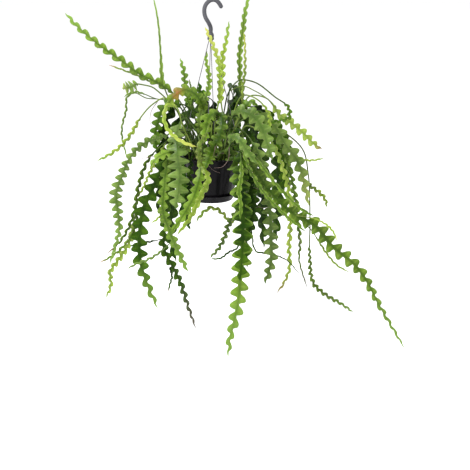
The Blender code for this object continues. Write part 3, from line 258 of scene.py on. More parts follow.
UPPER_STEMS: Tuple[Stem, ...] = (
    Stem("upper_left_arm", ((186, 112), (175, 95), (155, 81), (140, 74), (122, 61), (105, 49), (87, 35),
        (74, 23), (65, 13)), (10, -20, -40, -50), (22, 27, 24, 20, 12), pitch=27, roll=28, tip=Tip.FRESH,
        look=(0.2, 0.1)),
    Stem("upper_left_shoot", ((157, 83), (147, 80), (138, 76), (123, 70), (109, 65)), (-40, -58, -66),
        (8, 8, 6), bare=0.1, pitch=21, roll=30, on="upper_left_arm", share=0.36, tone=Tone.LIME,
        tip=Tip.PINK, look=(-0.1, 0.2)),
    Stem("tall_rod_left", ((188, 120), (176, 110), (166, 92), (162, 78), (161, 60), (160, 45), (159, 30),
        (157, 15), (153, -4)), (-30, -80, -95), (16, 14, 8, 8, 7, 6), bare=0.3, pitch=24, roll=40,
        tone=Tone.DARK, sinus=0.6, tip=Tip.FRESH, look=(0.6, 0.7)),
    Stem("starburst_left", ((186, 122), (175, 108), (160, 93), (152, 87), (144, 85), (137, 84), (130, 87),
        (122, 88)), (20, 30, 45, 100), (10, 26, 26, 16), bare=0.72, pitch=16, tone=Tone.SAGE, fuller=1.25,
        tip=Tip.PALE, look=(0.5, 0.3)),
    Stem("second_arch_left", ((165, 100), (157, 99), (144, 94), (137, 92), (130, 93), (124, 97)),
        (25, 20, 20), (6, 9, 6), bare=0.6, pitch=14, roll=20, on="starburst_left", share=0.46,
        tone=Tone.SAGE, look=(-0.2, 0.1)),
    Stem("pale_hanging_left", ((146, 98), (134, 93), (128, 96), (126, 111), (122, 127), (122, 137),
        (125, 150), (127, 158)), (5, -10, -15), (8, 9, 8, 5), bare=0.25, pitch=19, roll=35,
        on="second_arch_left", share=0.4, tone=Tone.SAGE, tip=Tip.FRESH, look=(0.5, 0.35)),
    Stem("thin_arch_left", ((182, 122), (172, 104), (165, 98), (153, 104), (141, 117), (131, 134),
        (122, 145), (112, 153), (97, 161)), (30, 50, 60, 60), (9, 11, 10, 6), bare=0.5, pitch=20, roll=20,
        tone=Tone.LIME, fuller=1.2, tip=Tip.FRESH, look=(-0.25, 0.0)),
    Stem("side_blade_left", ((186, 120), (178, 105), (170, 103), (161, 112), (158, 122), (155, 135),
        (157, 151)), (40, 62, 52), (22, 30, 28, 20), bare=0.2, pitch=19, tone=Tone.DARK, look=(0.3, 0.15)),
    Stem("lime_curl_left", ((182, 124), (176, 107), (168, 105), (164, 116), (167, 128), (174, 136),
        (185, 143), (197, 147)), (92, 130, 146), (9, 11, 11, 8), bare=0.2, pitch=19, roll=15,
        tone=Tone.LIME, sinus=0.5, tip=Tip.YELLOW, look=(0.0, 0.2)),
    Stem("upright_left", ((194, 115), (188, 100), (185, 85), (184, 72), (180, 58)), (20, 10, 0),
        (16, 18, 16, 8), pitch=17, roll=25, tone=Tone.DARK, fuller=1.15, tip=Tip.FRESH, look=(0.6, 0.3)),
    Stem("redbrown_shoot", ((192, 98), (191, 88), (189, 79)), (22, 30), (7, 5), bare=0.3, pitch=12,
        on="upright_left", share=0.5, tip=Tip.RED),
    Stem("rust_blade", ((206, 125), (201, 102), (192, 92), (184, 90), (176, 94), (170, 101), (167, 111)),
        (45, 75, 85), (22, 28, 28, 18), pitch=22, sinus=0.4, rusted=(0.6, 0.84)),
    Stem("dark_toothed_crown", ((201, 104), (200, 93), (199, 82)), (20, 5), (18, 21, 12), bare=0.1,
        pitch=18, on="rust_blade", share=0.35, tone=Tone.DARK, sinus=0.35),
    Stem("short_upright", ((199, 122), (204, 103), (209, 85), (208, 70), (206, 60), (207, 51)),
        (24, 50, 60, 52), (17, 23, 15, 8), bare=0.2, pitch=16, roll=35, sinus=0.3, fuller=1.2,
        look=(0.5, 0.4)),
    Stem("yellow_at_hook", ((216, 115), (220, 95), (220, 80), (218, 60), (213, 45), (205, 27)),
        (30, 40, 32), (12, 14, 13, 8), bare=0.12, pitch=18, roll=28, tone=Tone.LIME, fuller=1.25,
        tip=Tip.YELLOW, look=(0.2, 0.3)),
    Stem("lime_upright", ((223, 118), (221, 100), (222, 75), (223, 55), (226, 42), (229, 21)),
        (0, -12, -14), (15, 20, 15, 8), pitch=20, roll=38, tone=Tone.LIME, fuller=1.2, tip=Tip.FRESH),
    Stem("tall_right", ((236, 125), (241, 110), (240, 80), (240, 50), (243, 30), (245, 12), (250, -6)),
        (-24, -30, -30), (12, 16, 18, 16, 9), bare=0.25, pitch=19, roll=30, tone=Tone.DARK, sinus=0.4,
        tip=Tip.FRESH, look=(0.6, 0.7)),
    Stem("yellow_tall_right", ((236, 124), (242, 108), (243, 90), (245, 70), (245, 55), (245, 45),
        (244, 33)), (40, 40, 36), (9, 11, 10, 6), bare=0.2, pitch=17, roll=-35, tone=Tone.LIME,
        tip=Tip.YELLOW),
)

RIGHT_STEMS: Tuple[Stem, ...] = (
    Stem("high_arc_right", ((224, 112), (230, 90), (240, 80), (251, 81), (275, 97), (289, 109), (289, 117),
        (278, 121), (267, 123)), (10, 10, 20, 30), (8, 14, 12, 7), bare=0.68, pitch=14, tone=Tone.DARK,
        look=(0.2, 0.25)),
    Stem("middle_arc_right", ((243, 86), (255, 91), (265, 97), (273, 104), (279, 115), (281, 124)),
        (-16, -60, -70), (6, 9, 6), bare=0.7, pitch=13, on="high_arc_right", share=0.42, tone=Tone.LIME,
        tip=Tip.BROWN),
    Stem("lower_arc_right", ((232, 118), (245, 95), (253, 97), (265, 107), (270, 118), (268, 128),
        (261, 134)), (30, 50, 60), (6, 12, 8), bare=0.55, pitch=15, tone=Tone.LIME, tip=Tip.FRESH),
    Stem("yellow_lobed_right", ((240, 112), (250, 96), (266, 98), (280, 115), (290, 122), (303, 133),
        (314, 144), (322, 149)), (-20, -60, -80), (16, 24, 26, 14), bare=0.4, pitch=21, roll=25,
        tone=Tone.LIME, fuller=1.15, tip=Tip.BROWN, look=(-0.1, 0.3)),
    Stem("light_edge_right", ((240, 122), (258, 114), (272, 123), (286, 145), (298, 162), (304, 182),
        (309, 206)), (-14, -34, -40), (24, 36, 38, 30, 12), bare=0.12, pitch=28, roll=-22, tone=Tone.SAGE,
        tip=Tip.PALE, look=(0.2, 0.2)),
    Stem("wavy_shoot_right", ((297, 156), (306, 160), (315, 160), (324, 158)), (-54, -70), (8, 9, 6),
        bare=0.1, pitch=16, roll=20, on="light_edge_right", share=0.62, tone=Tone.LIME),
    Stem("side_shoot_right", ((312, 187), (320, 193), (325, 199), (327, 208)), (-44, -40), (10, 14, 8),
        bare=0.1, pitch=17, on="light_edge_right", share=0.82, tone=Tone.LIME),
    Stem("dark_mass_right", ((236, 118), (260, 118), (276, 130), (285, 155), (286, 175), (281, 194)),
        (-60, -100, -105), (34, 44, 44, 30), bare=0.1, pitch=29, roll=15, tone=Tone.DARK, sinus=0.35,
        look=(0.15, 0.05)),
    Stem("sage_crown_right", ((230, 124), (236, 112), (248, 113), (260, 124), (267, 142), (272, 160)),
        (56, 90, 92), (28, 38, 38, 24), bare=0.12, pitch=25, roll=-12, tone=Tone.SAGE, sinus=0.3,
        look=(0.0, 0.0)),
    Stem("green_crown_right", ((241, 112), (246, 105), (252, 102), (258, 106)), (66, 74), (16, 24, 14),
        bare=0.06, pitch=17, roll=20, on="sage_crown_right", share=0.42, sinus=0.4),
    Stem("light_curl_right", ((229, 147), (232, 137), (239, 139), (247, 151), (257, 164)), (110, 150, 166),
        (14, 22, 23, 12), pitch=22, tone=Tone.SAGE, sinus=0.5, look=(0.2, 0.0)),
    Stem("long_right_arm", ((234, 135), (241, 147), (255, 170), (275, 197), (297, 216), (313, 224),
        (333, 247), (355, 265), (368, 283), (378, 303), (392, 327), (405, 349)),
        (72, 106, 112, 105, 95, 90), (24, 36, 40, 40, 34, 22, 12, 6), bare=0.08, pitch=30, rounded=True,
        tip=Tip.FRESH, look=(0.15, 0.0)),
    Stem("thin_arc_right", ((318, 220), (328, 226), (334, 233), (337, 241)), (118, 125), (5, 8, 5),
        bare=0.4, pitch=13, on="long_right_arm", share=0.44, tone=Tone.LIME, tip=Tip.PALE),
    Stem("lower_arc_on_arm", ((312, 231), (318, 240), (327, 254), (338, 266), (349, 272)), (98, 84, 78),
        (5, 8, 7, 5), bare=0.4, pitch=18, on="long_right_arm", share=0.42, tone=Tone.LIME),
    Stem("upper_band_right", ((233, 134), (246, 147), (260, 164), (274, 182), (288, 197), (303, 210),
        (314, 216)), (126, 156, 158, 148), (9, 13, 13, 9), bare=0.1, pitch=24, roll=35, sinus=0.45,
        look=(0.1, 0.05)),
    Stem("lower_band_right", ((242, 150), (250, 170), (260, 187), (274, 204), (290, 219), (306, 232)),
        (128, 142, 132), (9, 13, 12, 7), bare=0.1, pitch=24, roll=-30, on="upper_band_right", share=0.3,
        sinus=0.4, look=(0.0, 0.1)),
    Stem("very_dark_right", ((244, 132), (249, 160), (250, 185), (254, 208), (252, 221), (248, 236)),
        (52, 86, 84), (20, 30, 32, 20), bare=0.12, pitch=23, tone=Tone.DARK, sinus=0.3, look=(-0.5, 0.0)),
    Stem("thin_dark_right", ((242, 140), (254, 158), (252, 200), (252, 236), (256, 251), (270, 254),
        (285, 259), (299, 273)), (44, 40, 34, 28), (8, 8, 8, 5), bare=0.3, pitch=22, roll=45,
        tone=Tone.DARK),
    Stem("sage_right", ((240, 130), (256, 148), (265, 180), (270, 212), (271, 240), (271, 262), (265, 284)),
        (20, 58, 60, 52), (26, 36, 38, 36, 18), bare=0.12, pitch=27, rounded=True, tone=Tone.SAGE,
        look=(0.45, 0.3)),
    Stem("lime_right", ((246, 126), (268, 138), (284, 172), (290, 205), (290, 232), (289, 250), (290, 266),
        (285, 281), (277, 293)), (0, 14, 10, 10), (14, 20, 20, 20, 16, 8), pitch=21, roll=38,
        tone=Tone.LIME, tip=Tip.BROWN, look=(0.2, 0.0)),
    Stem("short_right", ((248, 124), (274, 134), (290, 172), (296, 205), (299, 230), (300, 245), (299, 258),
        (303, 275), (307, 287)), (-40, -66, -64, -60), (16, 18, 20, 16, 8, 5), bare=0.2, pitch=21,
        roll=-32, tip=Tip.GREY, look=(0.1, 0.1)),
    Stem("long_rod_right", ((240, 118), (285, 133), (303, 150), (308, 172), (310, 220), (310, 260),
        (314, 284), (326, 295), (340, 303), (353, 312)), (-50, -130, -140, -140), (8, 12, 12, 7),
        bare=0.66, pitch=17, roll=40, tone=Tone.DARK, fuller=1.45, tip=Tip.FRESH, look=(0.6, 0.6)),
)

LEFT_STEMS: Tuple[Stem, ...] = (
    Stem("scalloped_left", ((191, 130), (178, 130), (163, 137), (149, 141), (136, 150), (127, 163),
        (121, 178), (116, 193), (118, 213), (119, 230), (115, 247), (110, 264)), (62, 92, 100, 102, 104),
        (15, 18, 16, 22, 26, 18, 9, 6), pitch=19, roll=18, tone=Tone.SAGE, fuller=1.3, tip=Tip.FRESH,
        look=(0.1, 0.05)),
    Stem("sideways_left", ((194, 140), (188, 148), (178, 152), (167, 153), (157, 158), (150, 167)),
        (34, 104, 116), (18, 26, 25, 16), bare=0.12, pitch=21, roll=-15, sinus=0.3),
    Stem("lime_narrow_left", ((184, 130), (170, 138), (158, 158), (150, 172), (142, 190), (135, 200)),
        (-10, -25, -30), (9, 11, 10, 6), bare=0.3, pitch=15, roll=15, tone=Tone.LIME, tip=Tip.BROWN),
    Stem("big_dark_left", ((182, 138), (172, 143), (164, 162), (152, 190), (143, 210), (140, 230),
        (139, 250), (143, 272), (150, 291), (158, 309)), (38, 60, 60, 50, 42), (30, 40, 43, 42, 38, 24, 9),
        bare=0.14, pitch=31, rounded=True, tone=Tone.DARK, tip=Tip.FRESH, look=(0.0, 0.0)),
    Stem("front_light", ((210, 123), (206, 134), (199, 147), (200, 162), (208, 178), (200, 198), (190, 218),
        (177, 235)), (104, 152, 164, 164), (11, 15, 16, 14, 8), bare=0.1, pitch=22, roll=10,
        tone=Tone.LIME, sinus=0.5, look=(-0.2, 0.0)),
    Stem("wide_sage_left", ((193, 126), (184, 118), (177, 130), (177, 150), (179, 172), (178, 192),
        (175, 209)), (62, 84, 96, 102), (30, 46, 52, 50, 32), bare=0.24, pitch=23, tone=Tone.SAGE,
        look=(0.0, 0.0)),
    Stem("front_broad", ((218, 128), (221, 115), (222, 123), (219, 137), (212, 150), (208, 160),
        (205, 169)), (48, 96, 108), (22, 32, 34, 24), bare=0.1, pitch=24, sinus=0.4, look=(-0.1, 0.0)),
    Stem("light_crown_middle", ((216, 113), (209, 117), (206, 129), (205, 143)), (70, 88, 94),
        (18, 28, 27, 14), bare=0.08, pitch=21, roll=10, on="front_broad", share=0.42, sinus=0.4,
        look=(0.1, 0.05)),
    Stem("lower_front_left", ((201, 140), (202, 153), (200, 175), (194, 196), (184, 214), (171, 233)),
        (92, 120, 136, 138), (18, 26, 28, 22, 10), bare=0.2, pitch=23, sinus=0.45, look=(0.1, 0.05)),
    Stem("light_left_low", ((188, 131), (173, 142), (167, 165), (164, 190), (163, 211), (169, 230),
        (176, 247), (182, 260), (188, 272)), (64, 96, 100, 92, 84), (18, 25, 26, 24, 12), pitch=23,
        sinus=0.3, tip=Tip.FRESH),
    Stem("lime_side_tip", ((160, 216), (156, 220), (151, 223)), (92, 98), (9, 6), bare=0.1, pitch=13,
        on="light_left_low", share=0.66, tone=Tone.LIME),
    Stem("pale_crossing_left", ((165, 248), (156, 255), (147, 260), (138, 263), (127, 269)), (88, 98, 98),
        (8, 10, 6), bare=0.25, pitch=16, roll=15, on="light_left_low", share=0.82, tone=Tone.SAGE),
    Stem("grey_behind_left", ((190, 128), (173, 136), (170, 165), (167, 200), (165, 228), (164, 248),
        (172, 265), (181, 284), (187, 303), (196, 329)), (-20, -40, -34, -28, -20),
        (22, 28, 28, 26, 18, 6), pitch=25, roll=28, tone=Tone.DARK, tip=Tip.GREY, look=(0.1, 0.05)),
    Stem("thin_crossing_left", ((158, 240), (148, 242), (138, 243), (127, 248)), (-30, -22), (7, 8, 5),
        bare=0.2, pitch=16, roll=20, on="grey_behind_left", share=0.62, tone=Tone.DARK),
    Stem("brown_tail_left", ((170, 268), (172, 276), (170, 284), (168, 292)), (-14, -10), (7, 8, 5),
        bare=0.1, pitch=14, on="grey_behind_left", share=0.74, tone=Tone.DARK, tip=Tip.BROWN),
    Stem("brown_tip_left", ((186, 132), (166, 142), (148, 160), (139, 185), (134, 212), (127, 231),
        (118, 244), (107, 254)), (14, 10, 16, 20), (12, 16, 15, 12, 6), bare=0.25, pitch=22, roll=35,
        tip=Tip.BROWN),
    Stem("pink_tip_left", ((136, 224), (130, 238), (122, 248), (112, 256), (99, 263)), (32, 42, 42),
        (10, 13, 10, 5), pitch=20, on="brown_tip_left", share=0.66, tip=Tip.PINK),
    Stem("lime_split_left", ((132, 233), (128, 245), (119, 259), (110, 273), (111, 284), (106, 298)),
        (8, -8, -14), (10, 14, 14, 12, 7), bare=0.12, pitch=21, roll=-30, on="brown_tip_left", share=0.68,
        tone=Tone.LIME, fuller=1.5),
    Stem("dark_toothed_left", ((200, 142), (193, 153), (190, 175), (188, 200), (187, 215), (190, 230)),
        (56, 84, 88, 88), (12, 18, 19, 12), bare=0.3, pitch=18, tone=Tone.DARK),
    Stem("curl_below_pot", ((228, 116), (240, 128), (243, 165), (239, 205), (231, 222), (222, 213),
        (213, 208), (206, 210), (201, 215), (196, 222)), (-50, -96, -90, -60, -40), (7, 8, 9, 6),
        bare=0.62, pitch=21, roll=10, tone=Tone.LIME, fuller=1.5, tip=Tip.FRESH),
    Stem("round_lobed_low", ((232, 128), (248, 150), (247, 185), (239, 210), (230, 222), (225, 236),
        (219, 248), (210, 258)), (22, 34, 28, 20), (14, 20, 21, 18, 10), bare=0.3, pitch=16, roll=28,
        tone=Tone.SAGE, look=(-0.3, 0.0)),
    Stem("longest_centre", ((229, 130), (230, 148), (237, 168), (241, 200), (243, 230), (242, 260),
        (240, 282), (238, 302), (234, 322), (230, 338), (228, 358)), (70, 106, 120, 130, 138, 140),
        (24, 38, 43, 43, 42, 38, 24, 8), bare=0.08, pitch=31, rounded=True, fuller=1.12, tip=Tip.FRESH,
        look=(0.1, 0.1)),
    Stem("thin_dark_low", ((236, 249), (229, 252), (221, 258), (210, 259)), (130, 118), (6, 7, 5), bare=0.3,
        pitch=13, on="longest_centre", share=0.52, tone=Tone.DARK),
    Stem("dark_over_centre", ((238, 132), (241, 155), (241, 185), (243, 205), (243, 228), (242, 255),
        (240, 281)), (96, 140, 154, 162), (20, 36, 42, 40, 26), bare=0.1, pitch=30, rounded=True,
        tone=Tone.DARK, look=(-0.35, 0.0)),
    Stem("light_over_centre", ((241, 178), (239, 192), (241, 206), (240, 220)), (158, 170), (9, 13, 8),
        bare=0.1, pitch=19, on="dark_over_centre", share=0.36, sinus=0.5, look=(0.3, 0.2)),
)

# The stems behind the pot, all dark-toned with no look given, so their green is drawn older and darker as
# painted shade
BACK_STEMS: Tuple[Stem, ...] = (
    Stem("back_left_low", ((196, 114), (188, 106), (179, 122), (175, 160), (172, 200), (171, 235),
        (176, 262)), (-70, -112, -134, -144), (38, 46, 44, 22), pitch=44, roll=30, tone=Tone.DARK),
    Stem("back_left_wide", ((182, 118), (176, 150), (182, 190), (183, 222)), (-110, -170, -185),
        (34, 48, 26), pitch=44, roll=40, on="back_left_low", share=0.3, tone=Tone.DARK),
    Stem("back_left_outer", ((198, 114), (178, 104), (165, 124), (163, 160), (161, 190), (158, 214)),
        (-30, -80, -96), (34, 44, 40, 20), pitch=42, roll=40, tone=Tone.DARK),
    Stem("back_middle_left", ((206, 110), (197, 94), (189, 112), (187, 150), (185, 184), (184, 214)),
        (-44, -84, -106, -122), (36, 46, 44, 22), pitch=42, roll=-30, tone=Tone.DARK),
    Stem("back_middle", ((207, 110), (204, 96), (202, 112), (202, 150), (203, 184)),
        (-80, -160, -190, -200), (34, 48, 30), pitch=42, roll=-20, tone=Tone.DARK, sinus=0.4),
    Stem("back_middle_right", ((212, 100), (213, 120), (212, 150), (214, 186)), (-150, -170, -180),
        (32, 48, 28), pitch=42, roll=20, on="back_middle", share=0.42, tone=Tone.DARK, sinus=0.4),
    Stem("back_right_low", ((228, 110), (238, 98), (247, 130), (247, 180), (246, 225), (247, 268)),
        (-60, -110, -130, -140), (36, 46, 44, 24), pitch=44, roll=30, tone=Tone.DARK),
    Stem("back_right_wide", ((250, 116), (260, 145), (263, 185), (262, 222), (264, 248)),
        (-140, -190, -200), (32, 44, 42, 22), pitch=44, roll=-35, on="back_right_low", share=0.28,
        tone=Tone.DARK),
    Stem("back_right_outer", ((232, 112), (258, 108), (274, 130), (278, 170), (277, 208), (276, 242)),
        (-70, -140, -165, -170), (36, 46, 42, 22), pitch=42, roll=-35, tone=Tone.DARK),
    Stem("back_far", ((228, 108), (231, 86), (240, 98), (252, 132), (256, 172), (254, 208)),
        (-90, -190, -220, -230), (34, 46, 44, 22), pitch=44, roll=40, tone=Tone.DARK),
    Stem("back_far_middle", ((233, 96), (232, 120), (233, 152), (234, 188)), (-150, -176, -188),
        (34, 48, 28), bare=0.12, pitch=44, roll=-18, on="back_far", share=0.34, tone=Tone.DARK, sinus=0.4),
)

STEMS = UPPER_STEMS + RIGHT_STEMS + LEFT_STEMS + BACK_STEMS


@dataclass(frozen=True)
class AerialRoot:
    """A thin root that leaves a stem and hangs or reaches through the air.

    on, share: the stem that it grows from, and how far along that stem
    seen: photo pixels (right, down) that it passes through, to its end
    """

    on: str
    share: float
    seen: Pixels


AERIAL_ROOTS: Tuple[AerialRoot, ...] = (
    AerialRoot("sideways_left", 0.84, ((150, 157), (141, 159), (134, 162))),
    AerialRoot("very_dark_right", 0.66, ((255, 188), (259, 189), (263, 188))),
    AerialRoot("dark_mass_right", 0.9, ((294, 189), (305, 190), (315, 191))),
    AerialRoot("very_dark_right", 0.8, ((257, 207), (264, 208), (270, 207))),
    AerialRoot("thin_arch_left", 0.5, ((151, 112), (150, 121), (152, 128))),
    AerialRoot("lime_right", 0.7, ((296, 231), (300, 240), (299, 252))),
    AerialRoot("lower_front_left", 0.42, ((208, 165), (213, 170), (220, 173))),
    AerialRoot("front_broad", 0.68, ((215, 157), (219, 154), (224, 153))),
    AerialRoot("light_curl_right", 0.45, ((228, 160), (222, 167), (214, 168))),
)


class Sight:
    """The photograph's eye, and the places that it sees."""

    def __init__(self) -> None:
        """Works out the eye and the middle of the picture from the saddle's pixel."""
        self.up = np.array((0, math.sin(SIGHT_TILT), math.cos(SIGHT_TILT)))
        self.ahead = np.array((0, math.cos(SIGHT_TILT), -math.sin(SIGHT_TILT)))
        seen_above = (PHOTO_CENTRE[1] - SADDLE_PIXEL[1]) * PIXEL
        above = seen_above * SIGHT_RANGE / (SIGHT_RANGE * self.up[2] + seen_above * self.up[1])
        nearer = (SIGHT_RANGE - above * self.up[1]) / SIGHT_RANGE
        across = (PHOTO_CENTRE[0] - SADDLE_PIXEL[0]) * PIXEL * nearer
        self.middle = np.array((across, 0, -above))
        self.eye = self.middle - self.ahead * SIGHT_RANGE
        self.toward_eye = np.cross(self.up, (-1, 0, 0))

    def on_ray(self, right: np.ndarray, up: np.ndarray, near: np.ndarray) -> np.ndarray:
        """Finds the points `near` in front of the axis that are seen at places of the picture.

        Args:
            right: distances to the right of the picture's middle, at the axis.
            up: distances above it.
            near: how far in front of the pot's axis each point is.

        Returns:
            One point a row.
        """
        flat = self.middle + np.outer(right, (1, 0, 0)) + np.outer(up, self.up)
        along = (-np.asarray(near) - self.eye[1]) / (flat[:, 1] - self.eye[1])
        return self.eye + (flat - self.eye) * along[:, None]

    def as_seen(self, points: np.ndarray) -> Tuple[np.ndarray, np.ndarray, np.ndarray]:
        """Gives where points are seen, and how near they are.

        Args:
            points: one point a row.

        Returns:
            Distances right and up in the picture, and in front of the axis.
        """
        ray = points - self.eye
        scale = SIGHT_RANGE / (-ray @ self.toward_eye)
        return ray[:, 0] * scale, (ray @ self.up) * scale, -points[:, 1]

    def pixels(self, seen: Pixels, near: np.ndarray) -> np.ndarray:
        """Turns photo pixels to points.

        Args:
            seen: pixels (right, down).
            near: how far in front of the axis each is.

        Returns:
            One point a row.
        """
        places = np.array(seen, float)
        right = (places[:, 0] - PHOTO_CENTRE[0]) * PIXEL
        up = (PHOTO_CENTRE[1] - places[:, 1]) * PIXEL
        return self.on_ray(right, up, near)

    def stem_points(self, stem: Stem) -> np.ndarray:
        """Gives the points that a stem is seen to pass through.

        Args:
            stem: the stem.

        Returns:
            One point a row.
        """
        steps = np.linspace(0, 1, len(stem.seen))
        near = np.interp(steps, np.linspace(0, 1, len(stem.near)), stem.near) * MM
        return self.pixels(stem.seen, near)


SIGHT = Sight()


def spans(points: np.ndarray) -> np.ndarray:
    """Gives the distance from each point to the next."""
    return np.linalg.norm(np.diff(points, axis=0), axis=1)


def lengths(points: np.ndarray) -> np.ndarray:
    """Gives how far along the line each point is."""
    return np.concatenate(([0], np.cumsum(spans(points))))


def at_lengths(values: np.ndarray, along: np.ndarray, places: np.ndarray) -> np.ndarray:
    """Reads a row of three values at each place along a line.

    Args:
        values: three values for each point of the line.
        along: how far along each point is.
        places: how far along to read.

    Returns:
        Three values for each place.
    """
    return np.stack([np.interp(places, along, values[:, axis]) for axis in range(3)], axis=1)


def unit(vectors: np.ndarray) -> np.ndarray:
    """Scales each row to length one."""
    return vectors / np.linalg.norm(vectors, axis=1)[:, None]


def directions(points: np.ndarray) -> np.ndarray:
    """Gives the direction of the line at each point."""
    return unit(np.gradient(points, axis=0))


def through(points: np.ndarray, step: float) -> np.ndarray:
    """Draws a smooth curve through points.

    Args:
        points: one point a row.
        step: about how far apart the curve's points are.

    Returns:
        The curve's points, evenly spaced.
    """
    span = np.maximum(spans(points), 1e-6)
    slope = np.diff(points, axis=0) / span[:, None]
    turn = np.empty_like(points)
    turn[0], turn[-1] = slope[0], slope[-1]
    before, after = span[:-1, None], span[1:, None]
    turn[1:-1] = (slope[1:] * before + slope[:-1] * after) / (before + after)
    dense = []
    for i, gap in enumerate(span):
        t = np.linspace(0, 1, 9)[:-1, None]
        dense.append(
            points[i] * (1 + 2 * t) * (1 - t) ** 2
            + turn[i] * gap * t * (1 - t) ** 2
            + points[i + 1] * t * t * (3 - 2 * t)
            - turn[i + 1] * gap * t * t * (1 - t)
        )
    dense = np.vstack((*dense, points[-1:]))
    along = lengths(dense)
    count = max(4, round(along[-1] / step))
    return at_lengths(dense, along, np.linspace(0, along[-1], count + 1))


def sides(points: np.ndarray, roll: float) -> np.ndarray:
    """Gives the direction across a blade: flat to the viewer, then rolled about the stem.

    Args:
        points: the stem's centre line.
        roll: degrees that the blade is turned.

    Returns:
        One direction for each point.
    """
    ahead = directions(points)
    across = np.cross(ahead, SIGHT.toward_eye)
    for i in range(1, len(across)):
        if np.linalg.norm(across[i]) < 0.35:
            across[i] = across[i - 1]
    kernel = np.ones(5) / 5
    for axis in range(3):
        padded = np.pad(across[:, axis], 2, mode="edge")
        across[:, axis] = np.convolve(padded, kernel, "valid")
    across -= ahead * np.sum(across * ahead, axis=1)[:, None]
    across = unit(across)
    turn = math.radians(roll)
    return across * math.cos(turn) + np.cross(across, ahead) * math.sin(turn)


def half_width(stem: Stem, share: np.ndarray) -> np.ndarray:
    """Gives half a blade's width at shares of its lobed part, before its lobes are cut."""
    return np.interp(share, np.linspace(0, 1, len(stem.wide)), stem.wide) * MM / 2


